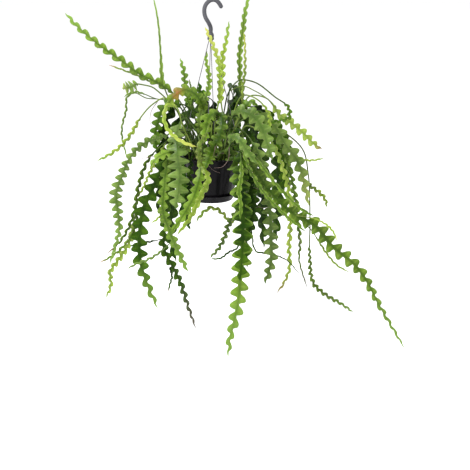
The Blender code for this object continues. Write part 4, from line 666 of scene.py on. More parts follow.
class Thicket:
    """Where every stem goes: up from the soil, through its seen points, and clear of the others."""

    def __init__(self, hanger: "Hanger") -> None:
        """Lays out the stems.

        Args:
            hanger: the hook and wires that the stems stay clear of.
        """
        self.stems = {stem.name: stem for stem in STEMS}
        self.routes: Dict[str, np.ndarray] = {}
        self.starts: Dict[str, float] = {}
        self.first_routes()
        self.names = list(self.routes)
        self.number = {name: i for i, name in enumerate(self.names)}
        self.counts = [len(self.routes[name]) for name in self.names]
        self.first = np.concatenate(([0], np.cumsum(self.counts)))
        self.points = np.vstack([self.routes[name] for name in self.names])
        self.risen = self.past_first_seen()
        self.uncrowd(hanger)

    @staticmethod
    def roots() -> np.ndarray:
        """Spreads the trunks' places in the soil, clear of each other and of the pot.

        Returns:
            One place a row, across and back.
        """
        wanted = []
        for number, stem in enumerate(stem for stem in STEMS if not stem.on):
            first = SIGHT.stem_points(stem)[0]
            aside = np.array((math.cos(number * ROOT_TURN), math.sin(number * ROOT_TURN)))
            wanted.append(first[:2] * ROOT_SPREAD + MM * aside)
        roots = np.array(wanted)
        for _ in range(ROOT_ROUNDS):
            apart = roots[:, None] - roots[None]
            distance = np.linalg.norm(apart, axis=2) + np.eye(len(roots))
            push = np.clip(ROOTS_APART - distance, 0, None)
            np.fill_diagonal(push, 0)
            roots = roots + ROOT_PUSH * np.sum(apart / distance[..., None] * push[..., None], axis=1)
            roots *= np.minimum(1, ROOT_RADIUS / np.linalg.norm(roots, axis=1))[:, None]
        return roots

    @staticmethod
    def from_root(stem: Stem, root: np.ndarray) -> np.ndarray:
        """Gives the points from a trunk's root, over the rim where it starts beside the pot, and on.

        Args:
            stem: the trunk.
            root: its place in the soil.

        Returns:
            One point a row.
        """
        seen = SIGHT.stem_points(stem)
        rise = root + (seen[0][:2] - root) * RISE_LEAN
        low, high = RISE_HEIGHTS
        start = [(*root, SOIL_Z - STALK_SUNK), (*root, SOIL_Z + low), (*rise, SOIL_Z + high)]
        reach = np.linalg.norm(seen[0][:2])
        if seen[0][2] <= RIM_Z + LOW_START and reach >= MOUTH_RADIUS:
            start.append((*(seen[0][:2] / reach * (MOUTH_RADIUS + PAST_MOUTH)), RIM_Z + OVER_RIM))
        return np.vstack((start, seen))

    def first_routes(self) -> None:
        """Draws each stem's curve before crowding, and notes where its seen part starts."""
        trunks = [stem for stem in STEMS if not stem.on]
        for stem, root in zip(trunks, self.roots()):
            points = self.from_root(stem, root)
            self.routes[stem.name] = through(points, SAMPLE)
            self.starts[stem.name] = lengths(points)[-len(stem.seen)]
        for stem in STEMS:
            if stem.on:
                parent = self.routes[stem.on]
                base = parent[round(stem.share * (len(parent) - 1))]
                self.routes[stem.name] = through(np.vstack((base, SIGHT.stem_points(stem))), SAMPLE)
                self.starts[stem.name] = 0

    def past_first_seen(self) -> np.ndarray:
        """Marks the samples past each stem's first seen point.

        Returns:
            Whether each sample is past it.
        """
        marks = np.zeros(len(self.points), bool)
        for name, a, b in zip(self.names, self.first[:-1], self.first[1:]):
            marks[a:b] = lengths(self.points[a:b]) >= self.starts[name] - RISEN_BEFORE
        return marks

    def first_lobe(self, stem: Stem, total: float) -> float:
        """Gives how far along a stem of this total length its first lobe is."""
        start = self.starts[stem.name]
        return start + (total - start) * stem.bare

    def patches_of(self, stem: Stem) -> np.ndarray:
        """Covers a blade with small patches.

        Args:
            stem: the stem.

        Returns:
            For each patch: owner, sample, right, up, depth offset, reach, depth and place along.
        """
        route = self.routes[stem.name]
        along = lengths(route)
        first = self.first_lobe(stem, along[-1])
        share = np.clip((along - first) / (along[-1] - first), 0, 1)
        half = np.where(along < first - LEAFY_BEFORE, STALK_WIDTH / 2, half_width(stem, share))
        across = sides(route, stem.roll)
        ahead = directions(route)
        steep = np.abs(ahead[:, 1]) / np.linalg.norm(ahead[:, [0, 2]], axis=1).clip(LEAST_FLAT)
        lean = np.abs(across[:, 1]) / np.linalg.norm(across[:, [0, 2]], axis=1).clip(LEAST_FLAT)
        wide = half > WIDE_HALF
        narrow = np.maximum(half, LEAST_HALF) + PATCH_MARGIN
        rows = []
        for offset in PATCH_OFFSETS:
            keep = wide if offset else np.ones(len(route), bool)
            right, up, near = SIGHT.as_seen((route + across * (half * offset)[:, None])[keep])
            reach = np.where(wide, np.maximum(half * PATCH_REACH, LEAST_REACH), narrow)[keep]
            thick = RIB_THICKNESS / 3 if offset else RIB_THICKNESS / 2
            depth = thick + np.minimum(np.maximum(steep, lean)[keep], STEEPEST) * reach * DEPTH_SHARE
            samples = np.nonzero(keep)[0]
            rows.append(np.stack((samples, right, up, near + route[keep, 1], reach, depth, along[keep]), 1))
        stacked = np.vstack(rows)
        return np.column_stack((np.full(len(stacked), self.number[stem.name]), stacked))

    @staticmethod
    def fixed_patches(line: np.ndarray, reach: float, depth: float, owner: int) -> np.ndarray:
        """Covers a part of the hanger with patches like a blade's.

        Args:
            line: the part's centre line.
            reach: how far from it stems stay in the picture.
            depth: how far in front or behind.
            owner: its number, after those of the stems.

        Returns:
            The patches, one a row.
        """
        right, up, _ = SIGHT.as_seen(line)
        count = len(line)
        same = [np.full(count, value) for value in (owner, 0.0, reach, depth, 1.0)]
        return np.stack((same[0], np.arange(count), right, up, *same[1:]), 1)

    def crossing(self, patches: np.ndarray) -> np.ndarray:
        """Finds the pairs of patches that the viewer sees one in front of the other.

        Args:
            patches: the patches of every stem and of the hanger.

        Returns:
            Pairs of patch numbers, leaving out where a branch leaves its stem.
        """
        related = {}
        for stem in STEMS:
            if stem.on:
                child, parent = self.number[stem.name], self.number[stem.on]
                related[child, parent] = related[parent, child] = child
        found = []
        for i, one in enumerate(patches):
            rest = patches[i + 1 :]
            reach = one[5] + rest[:, 5]
            close = (np.abs(rest[:, 2] - one[2]) < reach) & (np.abs(rest[:, 3] - one[3]) < reach)
            close &= rest[:, 0] != one[0]
            others = i + 1 + np.nonzero(close)[0]
            gap = np.hypot(patches[others, 2] - one[2], patches[others, 3] - one[3])
            for j in others[gap < one[5] + patches[others, 5]]:
                child = related.get((one[0], patches[j, 0]))
                joint = one if child == one[0] else patches[j]
                if child is None or joint[7] >= JOINT_REACH:
                    found.append((i, j))
        return np.array(found)

    def freedom(self) -> np.ndarray:
        """Gives how far each sample may move: not at all in the soil, freely well above it.

        Returns:
            Shares from 0 to 1.
        """
        free = np.zeros(len(self.points))
        for name, a, b in zip(self.names, self.first[:-1], self.first[1:]):
            on = self.stems[name].on
            held, ease = (HELD_ON_STEM, EASE_ON_STEM) if on else (HELD_IN_SOIL, EASE_IN_SOIL)
            free[a:b] = np.clip((lengths(self.points[a:b]) - held) / ease, 0, 1)
        return free

    def smoothed(self, move: np.ndarray) -> np.ndarray:
        """Evens out a move along each stem.

        Args:
            move: how far each sample would move.

        Returns:
            How far it moves.
        """
        result = move.copy()
        for a, b in zip(self.first[:-1], self.first[1:]):
            part = np.pad(move[a:b], len(SMOOTHING) // 2, mode="edge")
            result[a:b] = np.convolve(part, SMOOTHING, "valid")
        return result

    def outside_pot(self, right: np.ndarray, up: np.ndarray, near: np.ndarray) -> np.ndarray:
        """Keeps what hangs beside the pot outside its rim, and what rises in it inside its mouth.

        Args:
            right: how far right each sample is seen.
            up: how far up.
            near: how far in front of the pot's axis it is.

        Returns:
            How far in front it may be.
        """
        here = SIGHT.on_ray(right, up, near)
        beside = (here[:, 2] < RIM_Z + BESIDE_RIM) & self.risen
        rising = (here[:, 2] < RIM_Z + RISING_RIM) & ~self.risen
        reach = np.sqrt(np.clip((RIM_WIDTH / 2 + RIM_CLEAR) ** 2 - (BLADE_TURN * here[:, 0]) ** 2, 0, None))
        most = np.sqrt(np.clip((MOUTH_RADIUS - RIM_CLEAR) ** 2 - here[:, 0] ** 2, 0, None))
        result = np.where(rising, np.clip(near, -most, most), near)
        inside = beside & (np.abs(near) < reach)
        return np.where(inside, np.where(near >= 0, reach, -reach), result)

    def follow_parents(self, near: np.ndarray) -> None:
        """Moves each branch with the place that it grows from.

        Args:
            near: how far in front each sample is; changed here.
        """
        for name in self.names:
            stem = self.stems[name]
            if stem.on:
                parent = self.number[stem.on]
                place = self.first[parent] + round(stem.share * (self.counts[parent] - 1))
                a, b = self.first[self.number[name]], self.first[self.number[name] + 1]
                fade = np.clip(1 - np.arange(b - a) / FADE_SAMPLES, 0, 1)
                near[a:b] += (near[place] - near[a]) * fade

    def uncrowd(self, hanger: "Hanger") -> None:
        """Moves the stems toward or away from the viewer, over a set number of pushes, to part those that go
        through each other.

        Args:
            hanger: the hook and wires.
        """
        right, up, near = SIGHT.as_seen(self.points)
        count = len(near)
        patches = [self.patches_of(self.stems[name]) for name in self.names]
        for extra, (line, reach, depth) in enumerate(hanger.lines()):
            rows = self.fixed_patches(line, reach, depth, len(self.names) + extra)
            rows[:, 1] += len(near)
            patches.append(rows)
            near = np.concatenate((near, -line[:, 1]))
        patches = np.vstack(patches)
        owner, sample = patches[:, 0].astype(int), patches[:, 1].astype(int)
        of_stem = owner < len(self.names)
        sample[of_stem] += self.first[owner[of_stem]]
        one, other = self.crossing(patches).T
        needed = patches[one, 6] + patches[other, 6] + CLEAR
        offset = patches[other, 4] - patches[one, 4]
        _, group = np.unique(owner[one] * PAIR_STEP + owner[other], return_inverse=True)
        ahead = near[sample[other]] - near[sample[one]] + offset
        order = np.sign(np.bincount(group, ahead) + 1e-9)[group]
        in_front = np.where(order > 0, sample[other], sample[one])
        behind = np.where(order > 0, sample[one], sample[other])
        started = near.copy()
        free = np.concatenate((self.freedom(), np.zeros(len(near) - count)))
        for _ in range(PUSHES):
            gap = (near[sample[other]] - near[sample[one]] + offset) * order
            short = np.clip(needed - gap, 0, None) / 2
            forward, backward = np.zeros(len(near)), np.zeros(len(near))
            np.maximum.at(forward, in_front, short)
            np.maximum.at(backward, behind, short)
            near = near + self.smoothed((forward - backward) * free) * free * OVERSHOOT
            near = np.clip(near, started - MOST_MOVE, started + MOST_MOVE)
            near[:count] = self.outside_pot(right, up, near[:count])
            self.follow_parents(near)
        for name, a, b in zip(self.names, self.first[:-1], self.first[1:]):
            self.routes[name] = SIGHT.on_ray(right[a:b], up[a:b], near[a:b])


class Graph:
    """Adds and links the shader nodes of one material."""

    def __init__(self, name: str) -> None:
        """Starts a material with its Principled shader.

        Args:
            name: the material's name.
        """
        self.material = bpy.data.materials.new(name)
        self.material.use_nodes = True
        self.tree = self.material.node_tree
        self.shader = self.tree.nodes["Principled BSDF"]
        self.place = self.tree.nodes.new("ShaderNodeTexCoord").outputs["Object"]

    def feed(self, target: bpy.types.NodeSocket, value: object) -> None:
        """Links a socket to an input, or sets a constant on it.

        Args:
            target: the input.
            value: the socket or constant.
        """
        if isinstance(value, bpy.types.NodeSocket):
            self.tree.links.new(value, target)
        else:
            target.default_value = value

    def put(self, socket: str, value: object) -> None:
        """Feeds an input of the shader."""
        self.feed(self.shader.inputs[socket], value)

    def node(self, kind: str, inputs: Dict[str, object], **settings: object) -> bpy.types.Node:
        """Adds a node.

        Args:
            kind: the node's type after ShaderNode.
            inputs: constants or sockets for its inputs, by name or number.
            settings: its properties.

        Returns:
            The node.
        """
        made = self.tree.nodes.new("ShaderNode" + kind)
        for name, value in settings.items():
            setattr(made, name, value)
        for name, value in inputs.items():
            self.feed(made.inputs[name], value)
        return made

    def value(self, name: str, kind: str = "Fac") -> bpy.types.NodeSocket:
        """Reads a number that the mesh keeps on its points, or a colour where kind is Color."""
        return self.node("Attribute", {}, attribute_name=name).outputs[kind]

    def noise(self, scale: float, detail: float = 3.0, rough: float = 0.55) -> bpy.types.NodeSocket:
        """Adds cloudy noise over the object, around 0.5."""
        inputs = {"Vector": self.place, "Scale": scale, "Detail": detail, "Roughness": rough}
        return self.node("TexNoise", inputs).outputs["Fac"]

    def sum(self, operation: str, one: object, other: object = 0.0) -> bpy.types.NodeSocket:
        """Works out one sum of two numbers, kept between 0 and 1."""
        return self.node("Math", {0: one, 1: other}, operation=operation, use_clamp=True).outputs[0]

    def fade(self, value: object, low: float, high: float) -> bpy.types.NodeSocket:
        """Turns a number to 0 at `low` and 1 at `high`, smoothly between."""
        inputs = {"Value": value, "From Min": low, "From Max": high}
        return self.node("MapRange", inputs, interpolation_type="SMOOTHSTEP").outputs["Result"]

    def mix(self, share: object, one: object, other: object, how: str = "MIX") -> bpy.types.NodeSocket:
        """Mixes two colours.

        Args:
            share: how much of the second colour there is.
            one: the first colour, three numbers or a socket.
            other: the second.
            how: the blend type.

        Returns:
            The mixed colour.
        """
        made = self.node("Mix", {}, data_type="RGBA", blend_type=how)
        for number, value in ((0, share), (6, one), (7, other)):
            self.feed(made.inputs[number], (*value, 1) if isinstance(value, tuple) else value)
        return made.outputs[2]

    def spread(self, value: object, low: float, high: float) -> bpy.types.NodeSocket:
        """Turns a number from 0 to 1 to one from low to high."""
        return self.node("MapRange", {0: value, 3: low, 4: high}).outputs[0]

    def bump(self, height: object, depth: float, strength: float = 1.0, under: object = None) -> object:
        """Adds relief.

        Args:
            height: its height, from 0 to 1.
            depth: how deep 1 is, in metres.
            strength: how much of it shows.
            under: relief that this lies on, if any.

        Returns:
            The shading normal.
        """
        inputs = {"Height": height, "Distance": depth, "Strength": strength}
        if under is not None:
            inputs["Normal"] = under
        return self.node("Bump", inputs).outputs["Normal"]


PALE_GREEN: Colour = (0.20, 0.285, 0.055)
STALK_BROWN: Colour = (0.070, 0.075, 0.026)
RUST_BROWN: Colour = (0.20, 0.070, 0.020)
SHADE_TINT: Colour = (0.42, 0.46, 0.38)
DUST_GREY: Colour = (0.13, 0.12, 0.11)


@dataclass(frozen=True)
class LeafFinish:
    """The skin of a stem: waxy, darker where it is old, which near its base is partly age and partly painted
    shade of the crown, pale along its edges.
    """

    name: str
    old_and_shaded: Colour
    young: Colour
    edge: Colour
    rib: Colour
    gloss: float = 0.12
    roughness: float = 0.4

    def material(self) -> bpy.types.Material:
        """Builds the material.

        Returns:
            The material.
        """
        g = Graph(self.name)
        cloudy = g.noise(34, 4)
        across = g.value("across")
        age_and_shade = g.sum("ADD", g.value("growth_and_light"), g.sum("MULTIPLY", cloudy, 0.22))
        # Old to young green along the stem: the dark old green toward the base is partly age and partly
        # painted shade of the crown
        skin = g.mix(g.fade(age_and_shade, 0.2, 1.0), self.old_and_shaded, self.young)
        skin = g.mix(g.value("pale"), skin, PALE_GREEN)
        skin = g.mix(g.sum("MULTIPLY", g.value("bare"), 0.4), skin, STALK_BROWN)
        skin = g.mix(g.fade(cloudy, 0.42, 0.68), skin, g.mix(0.5, skin, self.edge))
        skin = g.mix(g.fade(g.value("shade"), 0.0, 1.0), g.mix(1.0, skin, SHADE_TINT, "MULTIPLY"), skin)
        skin = g.mix(g.sum("MULTIPLY", g.sum("POWER", across, 3.0), 0.4), skin, self.edge)
        skin = g.mix(g.sum("MULTIPLY", g.sum("POWER", across, 16.0), 0.6), skin, self.rib)
        skin = g.mix(g.fade(across, 0.3, 0.0), skin, g.mix(0.25, skin, self.rib))
        vein = g.sum("MULTIPLY", g.sum("POWER", g.value("vein"), 18.0), g.fade(across, 0.02, 0.3))
        speck = g.fade(g.noise(420, 2), 0.66, 0.74)
        marks = ((vein, 0.35, self.edge), (g.value("rib"), 0.55, self.rib), (speck, 0.25, self.edge))
        for mask, strength, colour in marks:
            skin = g.mix(g.sum("MULTIPLY", mask, strength), skin, colour)
        skin = g.mix(g.value("ripe"), skin, g.value("tip", "Color"))
        skin = g.mix(g.sum("MULTIPLY", g.value("rust"), g.fade(cloudy, 0.3, 0.6)), skin, RUST_BROWN)
        g.put("Base Color", skin)
        g.put("Roughness", g.spread(cloudy, self.roughness - 0.07, self.roughness + 0.1))
        g.put("Specular IOR Level", self.gloss)
        g.put("Subsurface Weight", 0.12)
        g.put("Subsurface Radius", (0.4, 1.0, 0.15))
        g.put("Subsurface Scale", 0.003)
        relief = g.bump(vein, 0.35 * MM, 0.5)
        relief = g.bump(g.noise(700, 2), 0.12 * MM, 0.35, relief)
        relief = g.bump(cloudy, 0.8 * MM, 0.4, relief)
        g.put("Normal", relief)
        return g.material


@dataclass(frozen=True)
class MatteFinish:
    """A dull rough skin of two colours in patches: roots, areoles, bark, perlite and potting mix."""

    name: str
    pale: Colour
    deep: Colour
    scale: float = 260
    detail: float = 4
    rough: float = 0.55
    palest: float = 0.65
    roughness: float = 0.85
    relief: float = 0.3 * MM
    strength: float = 0.7

    def material(self) -> bpy.types.Material:
        """Builds the material.

        Returns:
            The material.
        """
        g = Graph(self.name)
        patches = g.noise(self.scale, self.detail, self.rough)
        g.put("Base Color", g.mix(g.fade(patches, 0.35, self.palest), self.deep, self.pale))
        g.put("Roughness", self.roughness)
        g.put("Normal", g.bump(patches, self.relief, self.strength))
        return g.material


@dataclass(frozen=True)
class PlasticFinish:
    """Moulded plastic with faint flow marks and fine scratches."""

    name: str
    colour: Colour
    bloom: Colour
    roughness: float
    grain: float = 0.1 * MM

    def material(self) -> bpy.types.Material:
        """Builds the material.

        Returns:
            The material.
        """
        g = Graph(self.name)
        flow = g.noise(22, 3)
        fine = g.noise(900, 2)
        dust = g.fade(g.noise(55, 5, 0.7), 0.55, 0.8)
        tinted = g.mix(g.fade(flow, 0.3, 0.7), self.colour, self.bloom)
        g.put("Base Color", g.mix(g.sum("MULTIPLY", dust, 0.03), tinted, DUST_GREY))
        g.put("Specular IOR Level", 0.06)
        rough = g.spread(flow, self.roughness * 0.8, self.roughness * 1.3)
        g.put("Roughness", g.sum("ADD", rough, g.sum("MULTIPLY", dust, 0.12)))
        relief = g.bump(fine, self.grain, 0.25)
        g.put("Normal", g.bump(flow, 0.5 * MM, 0.15, relief))
        return g.material


@dataclass(frozen=True)
class SteelFinish:
    """Drawn wire with dull patches."""

    name: str
    bright: Colour
    dull: Colour

    def material(self) -> bpy.types.Material:
        """Builds the material.

        Returns:
            The material.
        """
        g = Graph(self.name)
        patches = g.noise(150, 4)
        g.put("Base Color", g.mix(g.fade(patches, 0.4, 0.7), self.bright, self.dull))
        g.put("Metallic", 0.85)
        g.put("Roughness", g.spread(patches, 0.25, 0.5))
        g.put("Normal", g.bump(g.noise(1500, 1), 0.05 * MM, 0.3))
        return g.material


@dataclass(frozen=True)
class FloorFinish:
    """A plain pale studio floor."""

    name: str
    colour: Colour

    def material(self) -> bpy.types.Material:
        """Builds the material.

        Returns:
            The material.
        """
        g = Graph(self.name)
        g.put("Base Color", (*self.colour, 1))
        g.put("Roughness", 0.8)
        g.put("Specular IOR Level", 0.2)
        return g.material


# Each tone's greens: old (partly age and partly painted shade of the crown), young, edge and rib, then gloss
# where it is given
LEAF_FINISHES: Dict[Tone, LeafFinish] = {
    Tone.DARK: LeafFinish(
        "leaf_dark", (0.003, 0.014, 0.001), (0.024, 0.070, 0.001), (0.060, 0.125, 0.006),
        (0.007, 0.023, 0.001), 0.06,
    ),
    Tone.GREEN: LeafFinish(
        "leaf_green", (0.007, 0.025, 0.001), (0.084, 0.158, 0.007), (0.19, 0.285, 0.040),
        (0.014, 0.042, 0.002),
    ),
    Tone.SAGE: LeafFinish(
        "leaf_sage", (0.013, 0.032, 0.003), (0.086, 0.150, 0.022), (0.20, 0.285, 0.065),
        (0.036, 0.074, 0.010), 0.16,
    ),
    Tone.LIME: LeafFinish(
        "leaf_lime", (0.040, 0.070, 0.004), (0.200, 0.290, 0.018), (0.33, 0.40, 0.08),
        (0.09, 0.15, 0.010), 0.2,
    ),
}
AERIAL_FINISH = MatteFinish("aerial_root", (0.17, 0.12, 0.10), (0.08, 0.05, 0.04))
AREOLE_FINISH = MatteFinish("areole", (0.42, 0.36, 0.24), (0.22, 0.15, 0.08))
POT_FINISH = PlasticFinish("pot_plastic", (0.003, 0.003, 0.0035), (0.006, 0.0055, 0.0065), 0.16)
SAUCER_FINISH = PlasticFinish("saucer_plastic", (0.006, 0.0055, 0.006), (0.010, 0.0095, 0.011), 0.14)
HOOK_FINISH = PlasticFinish("hook_plastic", (0.042, 0.042, 0.048), (0.070, 0.070, 0.078), 0.42)
WIRE_FINISH = SteelFinish("wire_steel", (0.15, 0.14, 0.16), (0.08, 0.075, 0.09))
EARTH_FINISH = MatteFinish(
    "potting_mix", (0.075, 0.048, 0.03), (0.018, 0.011, 0.007), 300, 6, 0.7, 0.7, 0.95, 1.2 * MM, 0.9
)
BARK_FINISH = MatteFinish("bark_chip", (0.22, 0.12, 0.06), (0.08, 0.04, 0.02))
PERLITE_FINISH = MatteFinish("perlite", (0.80, 0.78, 0.74), (0.55, 0.52, 0.48))
FLOOR_FINISH = FloorFinish("studio_floor", (0.93, 0.93, 0.93))


def linked(name: str, data: object) -> bpy.types.Object:
    """Makes an object of its data and puts it in the scene.

    Args:
        name: the object's name.
        data: its mesh, light or camera.

    Returns:
        The object.
    """
    item = bpy.data.objects.new(name, data)
    bpy.context.scene.collection.objects.link(item)
    return item


def mesh_of(bm: bmesh.types.BMesh, name: str) -> bpy.types.Mesh:
    """Turns a mesh that is being made into a finished one.

    Args:
        bm: the mesh that is being made; it is freed.
        name: the finished mesh's name.

    Returns:
        The finished mesh.
    """
    mesh = bpy.data.meshes.new(name)
    bm.to_mesh(mesh)
    bm.free()
    return mesh


def smooth(mesh: bpy.types.Mesh, sharp: float) -> None:
    """Shades a mesh smooth, but for edges that turn by `sharp` degrees or more."""
    mesh.shade_smooth()
    mesh.set_sharp_from_angle(angle=math.radians(sharp))


@dataclass
class Shell:
    """One piece's mesh while it is made: closed tubes laid from grids, with values on their points."""

    numbers: Tuple[str, ...] = ()
    bm: bmesh.types.BMesh = field(default_factory=bmesh.new)

    def __post_init__(self) -> None:
        """Makes room for the values."""
        self.layers = {name: self.bm.verts.layers.float.new(name) for name in self.numbers}
        self.tip = self.bm.verts.layers.float_color.new("tip") if self.numbers else None

    def lay(
        self,
        rings: np.ndarray,
        finish: int = 0,
        values: Optional[Dict[str, np.ndarray]] = None,
        tip: Colour = (0, 0, 0),
    ) -> None:
        """Lays a closed tube through rings of points, from a grid whose edges are then welded.

        Args:
            rings: points by row along the tube and place around it.
            finish: the tube's material number.
            values: the numbers to keep on its points, by name, in rows like the rings.
            tip: the colour to keep on its points.
        """
        around = rings.shape[1]
        ends = [np.repeat(ring.mean(0)[None, None], around, 1) for ring in (rings[0], rings[-1])]
        rings = np.concatenate((ends[0], rings, ends[1]))
        rows = len(rings)
        made = bmesh.ops.create_grid(self.bm, x_segments=rows - 1, y_segments=around, size=0.5)["verts"]
        places = np.array([vert.co[:2] for vert in made]) + 0.5
        row = np.rint(places[:, 0] * (rows - 1)).astype(int)
        column = np.rint(places[:, 1] * around).astype(int) % around
        for vert, place in zip(made, rings[row, column]):
            vert.co = place
        kept = np.clip(row - 1, 0, rows - 3)
        for name, numbers in (values or {}).items():
            layer = self.layers[name]
            for vert, number in zip(made, numbers[kept, column]):
                vert[layer] = number
        if values:
            for vert in made:
                vert[self.tip] = (*tip, 1)
        faces = {face for vert in made for face in vert.link_faces}
        for face in faces:
            face.material_index = finish
            face.normal_update()
        if sum(face.calc_center_median().dot(face.normal) * face.calc_area() for face in faces) < 0:
            bmesh.ops.reverse_faces(self.bm, faces=list(faces))
        bmesh.ops.remove_doubles(self.bm, verts=made, dist=WELD)

    def finished(
        self, name: str, finishes: Sequence[bpy.types.Material], sharp: float = SHARP
    ) -> bpy.types.Object:
        """Closes the mesh and makes it an object at the origin.

        Args:
            name: the object's name.
            finishes: its materials, in the order of their numbers.
            sharp: degrees from which an edge is left sharp.

        Returns:
            The object.
        """
        bmesh.ops.dissolve_degenerate(self.bm, edges=self.bm.edges, dist=WELD)
        mesh = mesh_of(self.bm, name)
        for material in finishes:
            mesh.materials.append(material)
        smooth(mesh, sharp)
        return linked(name, mesh)


def rod_rings(points: np.ndarray, radii: np.ndarray, around: int) -> np.ndarray:
    """Gives the rings of a round rod.

    Args:
        points: its centre line.
        radii: its radius at each point.
        around: points in each ring.

    Returns:
        The rings, one a row.
    """
    ahead = directions(points)
    side = np.cross(ahead[0], (0.31, 0.87, 0.12))
    turns = 2 * np.pi * np.arange(around)[:, None] / around
    rings = []
    for point, way, radius in zip(points, ahead, radii):
        side = side - way * side.dot(way)
        side = side / np.linalg.norm(side)
        rings.append(point + radius * (side * np.cos(turns) + np.cross(way, side) * np.sin(turns)))
    return np.array(rings)


def turned(profile: Sequence[Tuple[float, float]], around: int, soft: float) -> Shell:
    """Turns an outline about the upright axis.

    Args:
        profile: (radius, height) points, from the axis round and back to it.
        around: how many sides the round has.
        soft: how far its edges are rounded.

    Returns:
        The closed shape.
    """
    shell = Shell()
    bm = shell.bm
    verts = [bm.verts.new((radius, 0, height)) for radius, height in profile]
    edges = [bm.edges.new(pair) for pair in zip(verts, verts[1:])]
    bmesh.ops.spin(
        bm, geom=verts + edges, cent=(0, 0, 0), axis=(0, 0, 1), dvec=(0, 0, 0),
        angle=2 * math.pi, steps=around, use_merge=True, use_duplicate=False,
    )
    bmesh.ops.remove_doubles(bm, verts=bm.verts, dist=1e-6)
    bmesh.ops.recalc_face_normals(bm, faces=bm.faces)
    corners = [edge for edge in bm.edges if edge.calc_face_angle(0) > math.radians(25)]
    bmesh.ops.bevel(
        bm, geom=corners, offset=soft, segments=3, profile=0.5,
        affect="EDGES", material=-1, clamp_overlap=True,
    )
    return shell


def drilled(item: bpy.types.Object, holes: Sequence[Tuple[Vector, float, float]]) -> bpy.types.Object:
    """Drills upright round holes through a piece.

    Args:
        item: the piece.
        holes: each hole's middle, radius and length.

    Returns:
        The drilled piece.
    """
    bm = bmesh.new()
    for middle, radius, length in holes:
        made = bmesh.ops.create_cone(
            bm, cap_ends=True, cap_tris=False, segments=20, radius1=radius, radius2=radius, depth=length
        )
        bmesh.ops.translate(bm, verts=made["verts"], vec=middle)
    drill = linked("drill", mesh_of(bm, "drill"))
    modifier = item.modifiers.new("holes", "BOOLEAN")
    modifier.operation = "DIFFERENCE"
    modifier.solver = "EXACT"
    modifier.object = drill
    graph = bpy.context.evaluated_depsgraph_get()
    cut = bpy.data.meshes.new_from_object(item.evaluated_get(graph))
    item.modifiers.clear()
    item.data = cut
    smooth(cut, SHARP)
    bpy.data.objects.remove(drill)
    return item


def settle(item: bpy.types.Object, slot: str, *nodes: str) -> None:
    """Puts a finished piece in the frame in place of its solids.

    Args:
        item: the piece.
        slot: not used.
        nodes: the solids that it stands for.
    """
    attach(item, "root")
    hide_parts(*nodes)
    LOG.info("%s: %d faces for %s", item.name, len(item.data.polygons), ", ".join(nodes))


@dataclass
class Pot:
    """The round plastic pot: a thin tapered wall, a band and a flange at its mouth, and drain holes."""

    rim: float = RIM_WIDTH / 2
    base: float = BASE_WIDTH / 2
    flange: float = FLANGE_REACH
    wall: float = WALL
    around: int = 112
    drain_radius: float = 4 * MM
    drain_circle: float = 38 * MM

    def outline(self) -> List[Tuple[float, float]]:
        """Gives the wall from the middle of the floor, up the outside, over the rim and down inside.

        Returns:
            (radius, height) points.
        """
        neck = self.rim - self.flange
        band = RIM_Z - BAND_HEIGHT
        slope = (neck - self.base) / POT_HEIGHT
        foot_ring = 4 * MM
        return [
            (0, FLOOR_Z + 1.2 * MM),
            (self.base - 6 * MM - foot_ring, FLOOR_Z + 1.2 * MM),
            (self.base - 6 * MM, FLOOR_Z),
            (self.base - 2 * MM, FLOOR_Z),
            (self.base, FLOOR_Z + 2 * MM),
            (neck - slope * BAND_HEIGHT, band),
            (neck + 0.9 * MM, band + 0.6 * MM),
            (neck + 1.2 * MM, RIM_Z - FLANGE_THICKNESS),
            (self.rim - 0.8 * MM, RIM_Z - FLANGE_THICKNESS),
            (self.rim, RIM_Z - FLANGE_THICKNESS + 0.7 * MM),
            (self.rim - 0.8 * MM, RIM_Z),
            (neck - self.wall + 1.2 * MM, RIM_Z),
            (neck - self.wall, RIM_Z - 1.5 * MM),
            (self.base - self.wall, FLOOR_Z + self.wall + 1.2 * MM),
            (self.base - self.wall - MM, FLOOR_Z + self.wall + 0.8 * MM),
            (0, FLOOR_Z + self.wall + 0.8 * MM),
        ]

    def build(self, hanger: "Hanger") -> None:
        """Makes the pot, with the holes that the wires hook through.

        Args:
            hanger: the hook and wires.
        """
        pot = turned(self.outline(), self.around, 0.35 * MM).finished("hanging_pot", [POT_FINISH.material()])
        holes = []
        for i in range(DRAIN_HOLES):
            turn = 2 * math.pi * (i + 0.5) / DRAIN_HOLES
            across, back = self.drain_circle * math.cos(turn), self.drain_circle * math.sin(turn)
            holes.append((Vector((across, back, FLOOR_Z)), self.drain_radius, 12 * MM))
        for i in range(WIRES):
            holes.append((Vector(hanger.eye(i)), WIRE_WIDTH / 2 + 0.7 * MM, 8 * MM))
        settle(drilled(pot, holes), "pot_black", "pot")


@dataclass
class Saucer:
    """The shallow dish under the pot, with a raised ring that the pot's foot stands on."""

    edge: float = SAUCER_WIDTH / 2
    foot: float = BASE_WIDTH / 2
    around: int = 112

    def build(self) -> None:
        """Makes the saucer."""
        top = FLOOR_Z + SAUCER_HEIGHT - 6 * MM
        under = FLOOR_Z - 6 * MM
        outline = [
            (0, under + 0.8 * MM),
            (self.foot - 9 * MM, under + 0.8 * MM),
            (self.foot - 8 * MM, under),
            (self.foot - 3 * MM, under),
            (self.foot - MM, under + MM),
            (self.edge - 1.6 * MM, top - 1.8 * MM),
            (self.edge, top - 1.4 * MM),
            (self.edge, top),
            (self.edge - 2.2 * MM, top),
            (self.foot + 1.2 * MM, FLOOR_Z - 1.4 * MM),
            (self.foot - 4 * MM, FLOOR_Z - 3.4 * MM),
            (self.foot - 6 * MM, FLOOR_Z - 0.3 * MM),
            (self.foot - 9 * MM, FLOOR_Z - 0.3 * MM),
            (self.foot - 11 * MM, under + 1.8 * MM),
            (0, under + 1.8 * MM),
        ]
        saucer = turned(outline, self.around, 0.3 * MM).finished("drip_saucer", [SAUCER_FINISH.material()])
        settle(saucer, "saucer_black", "saucer")


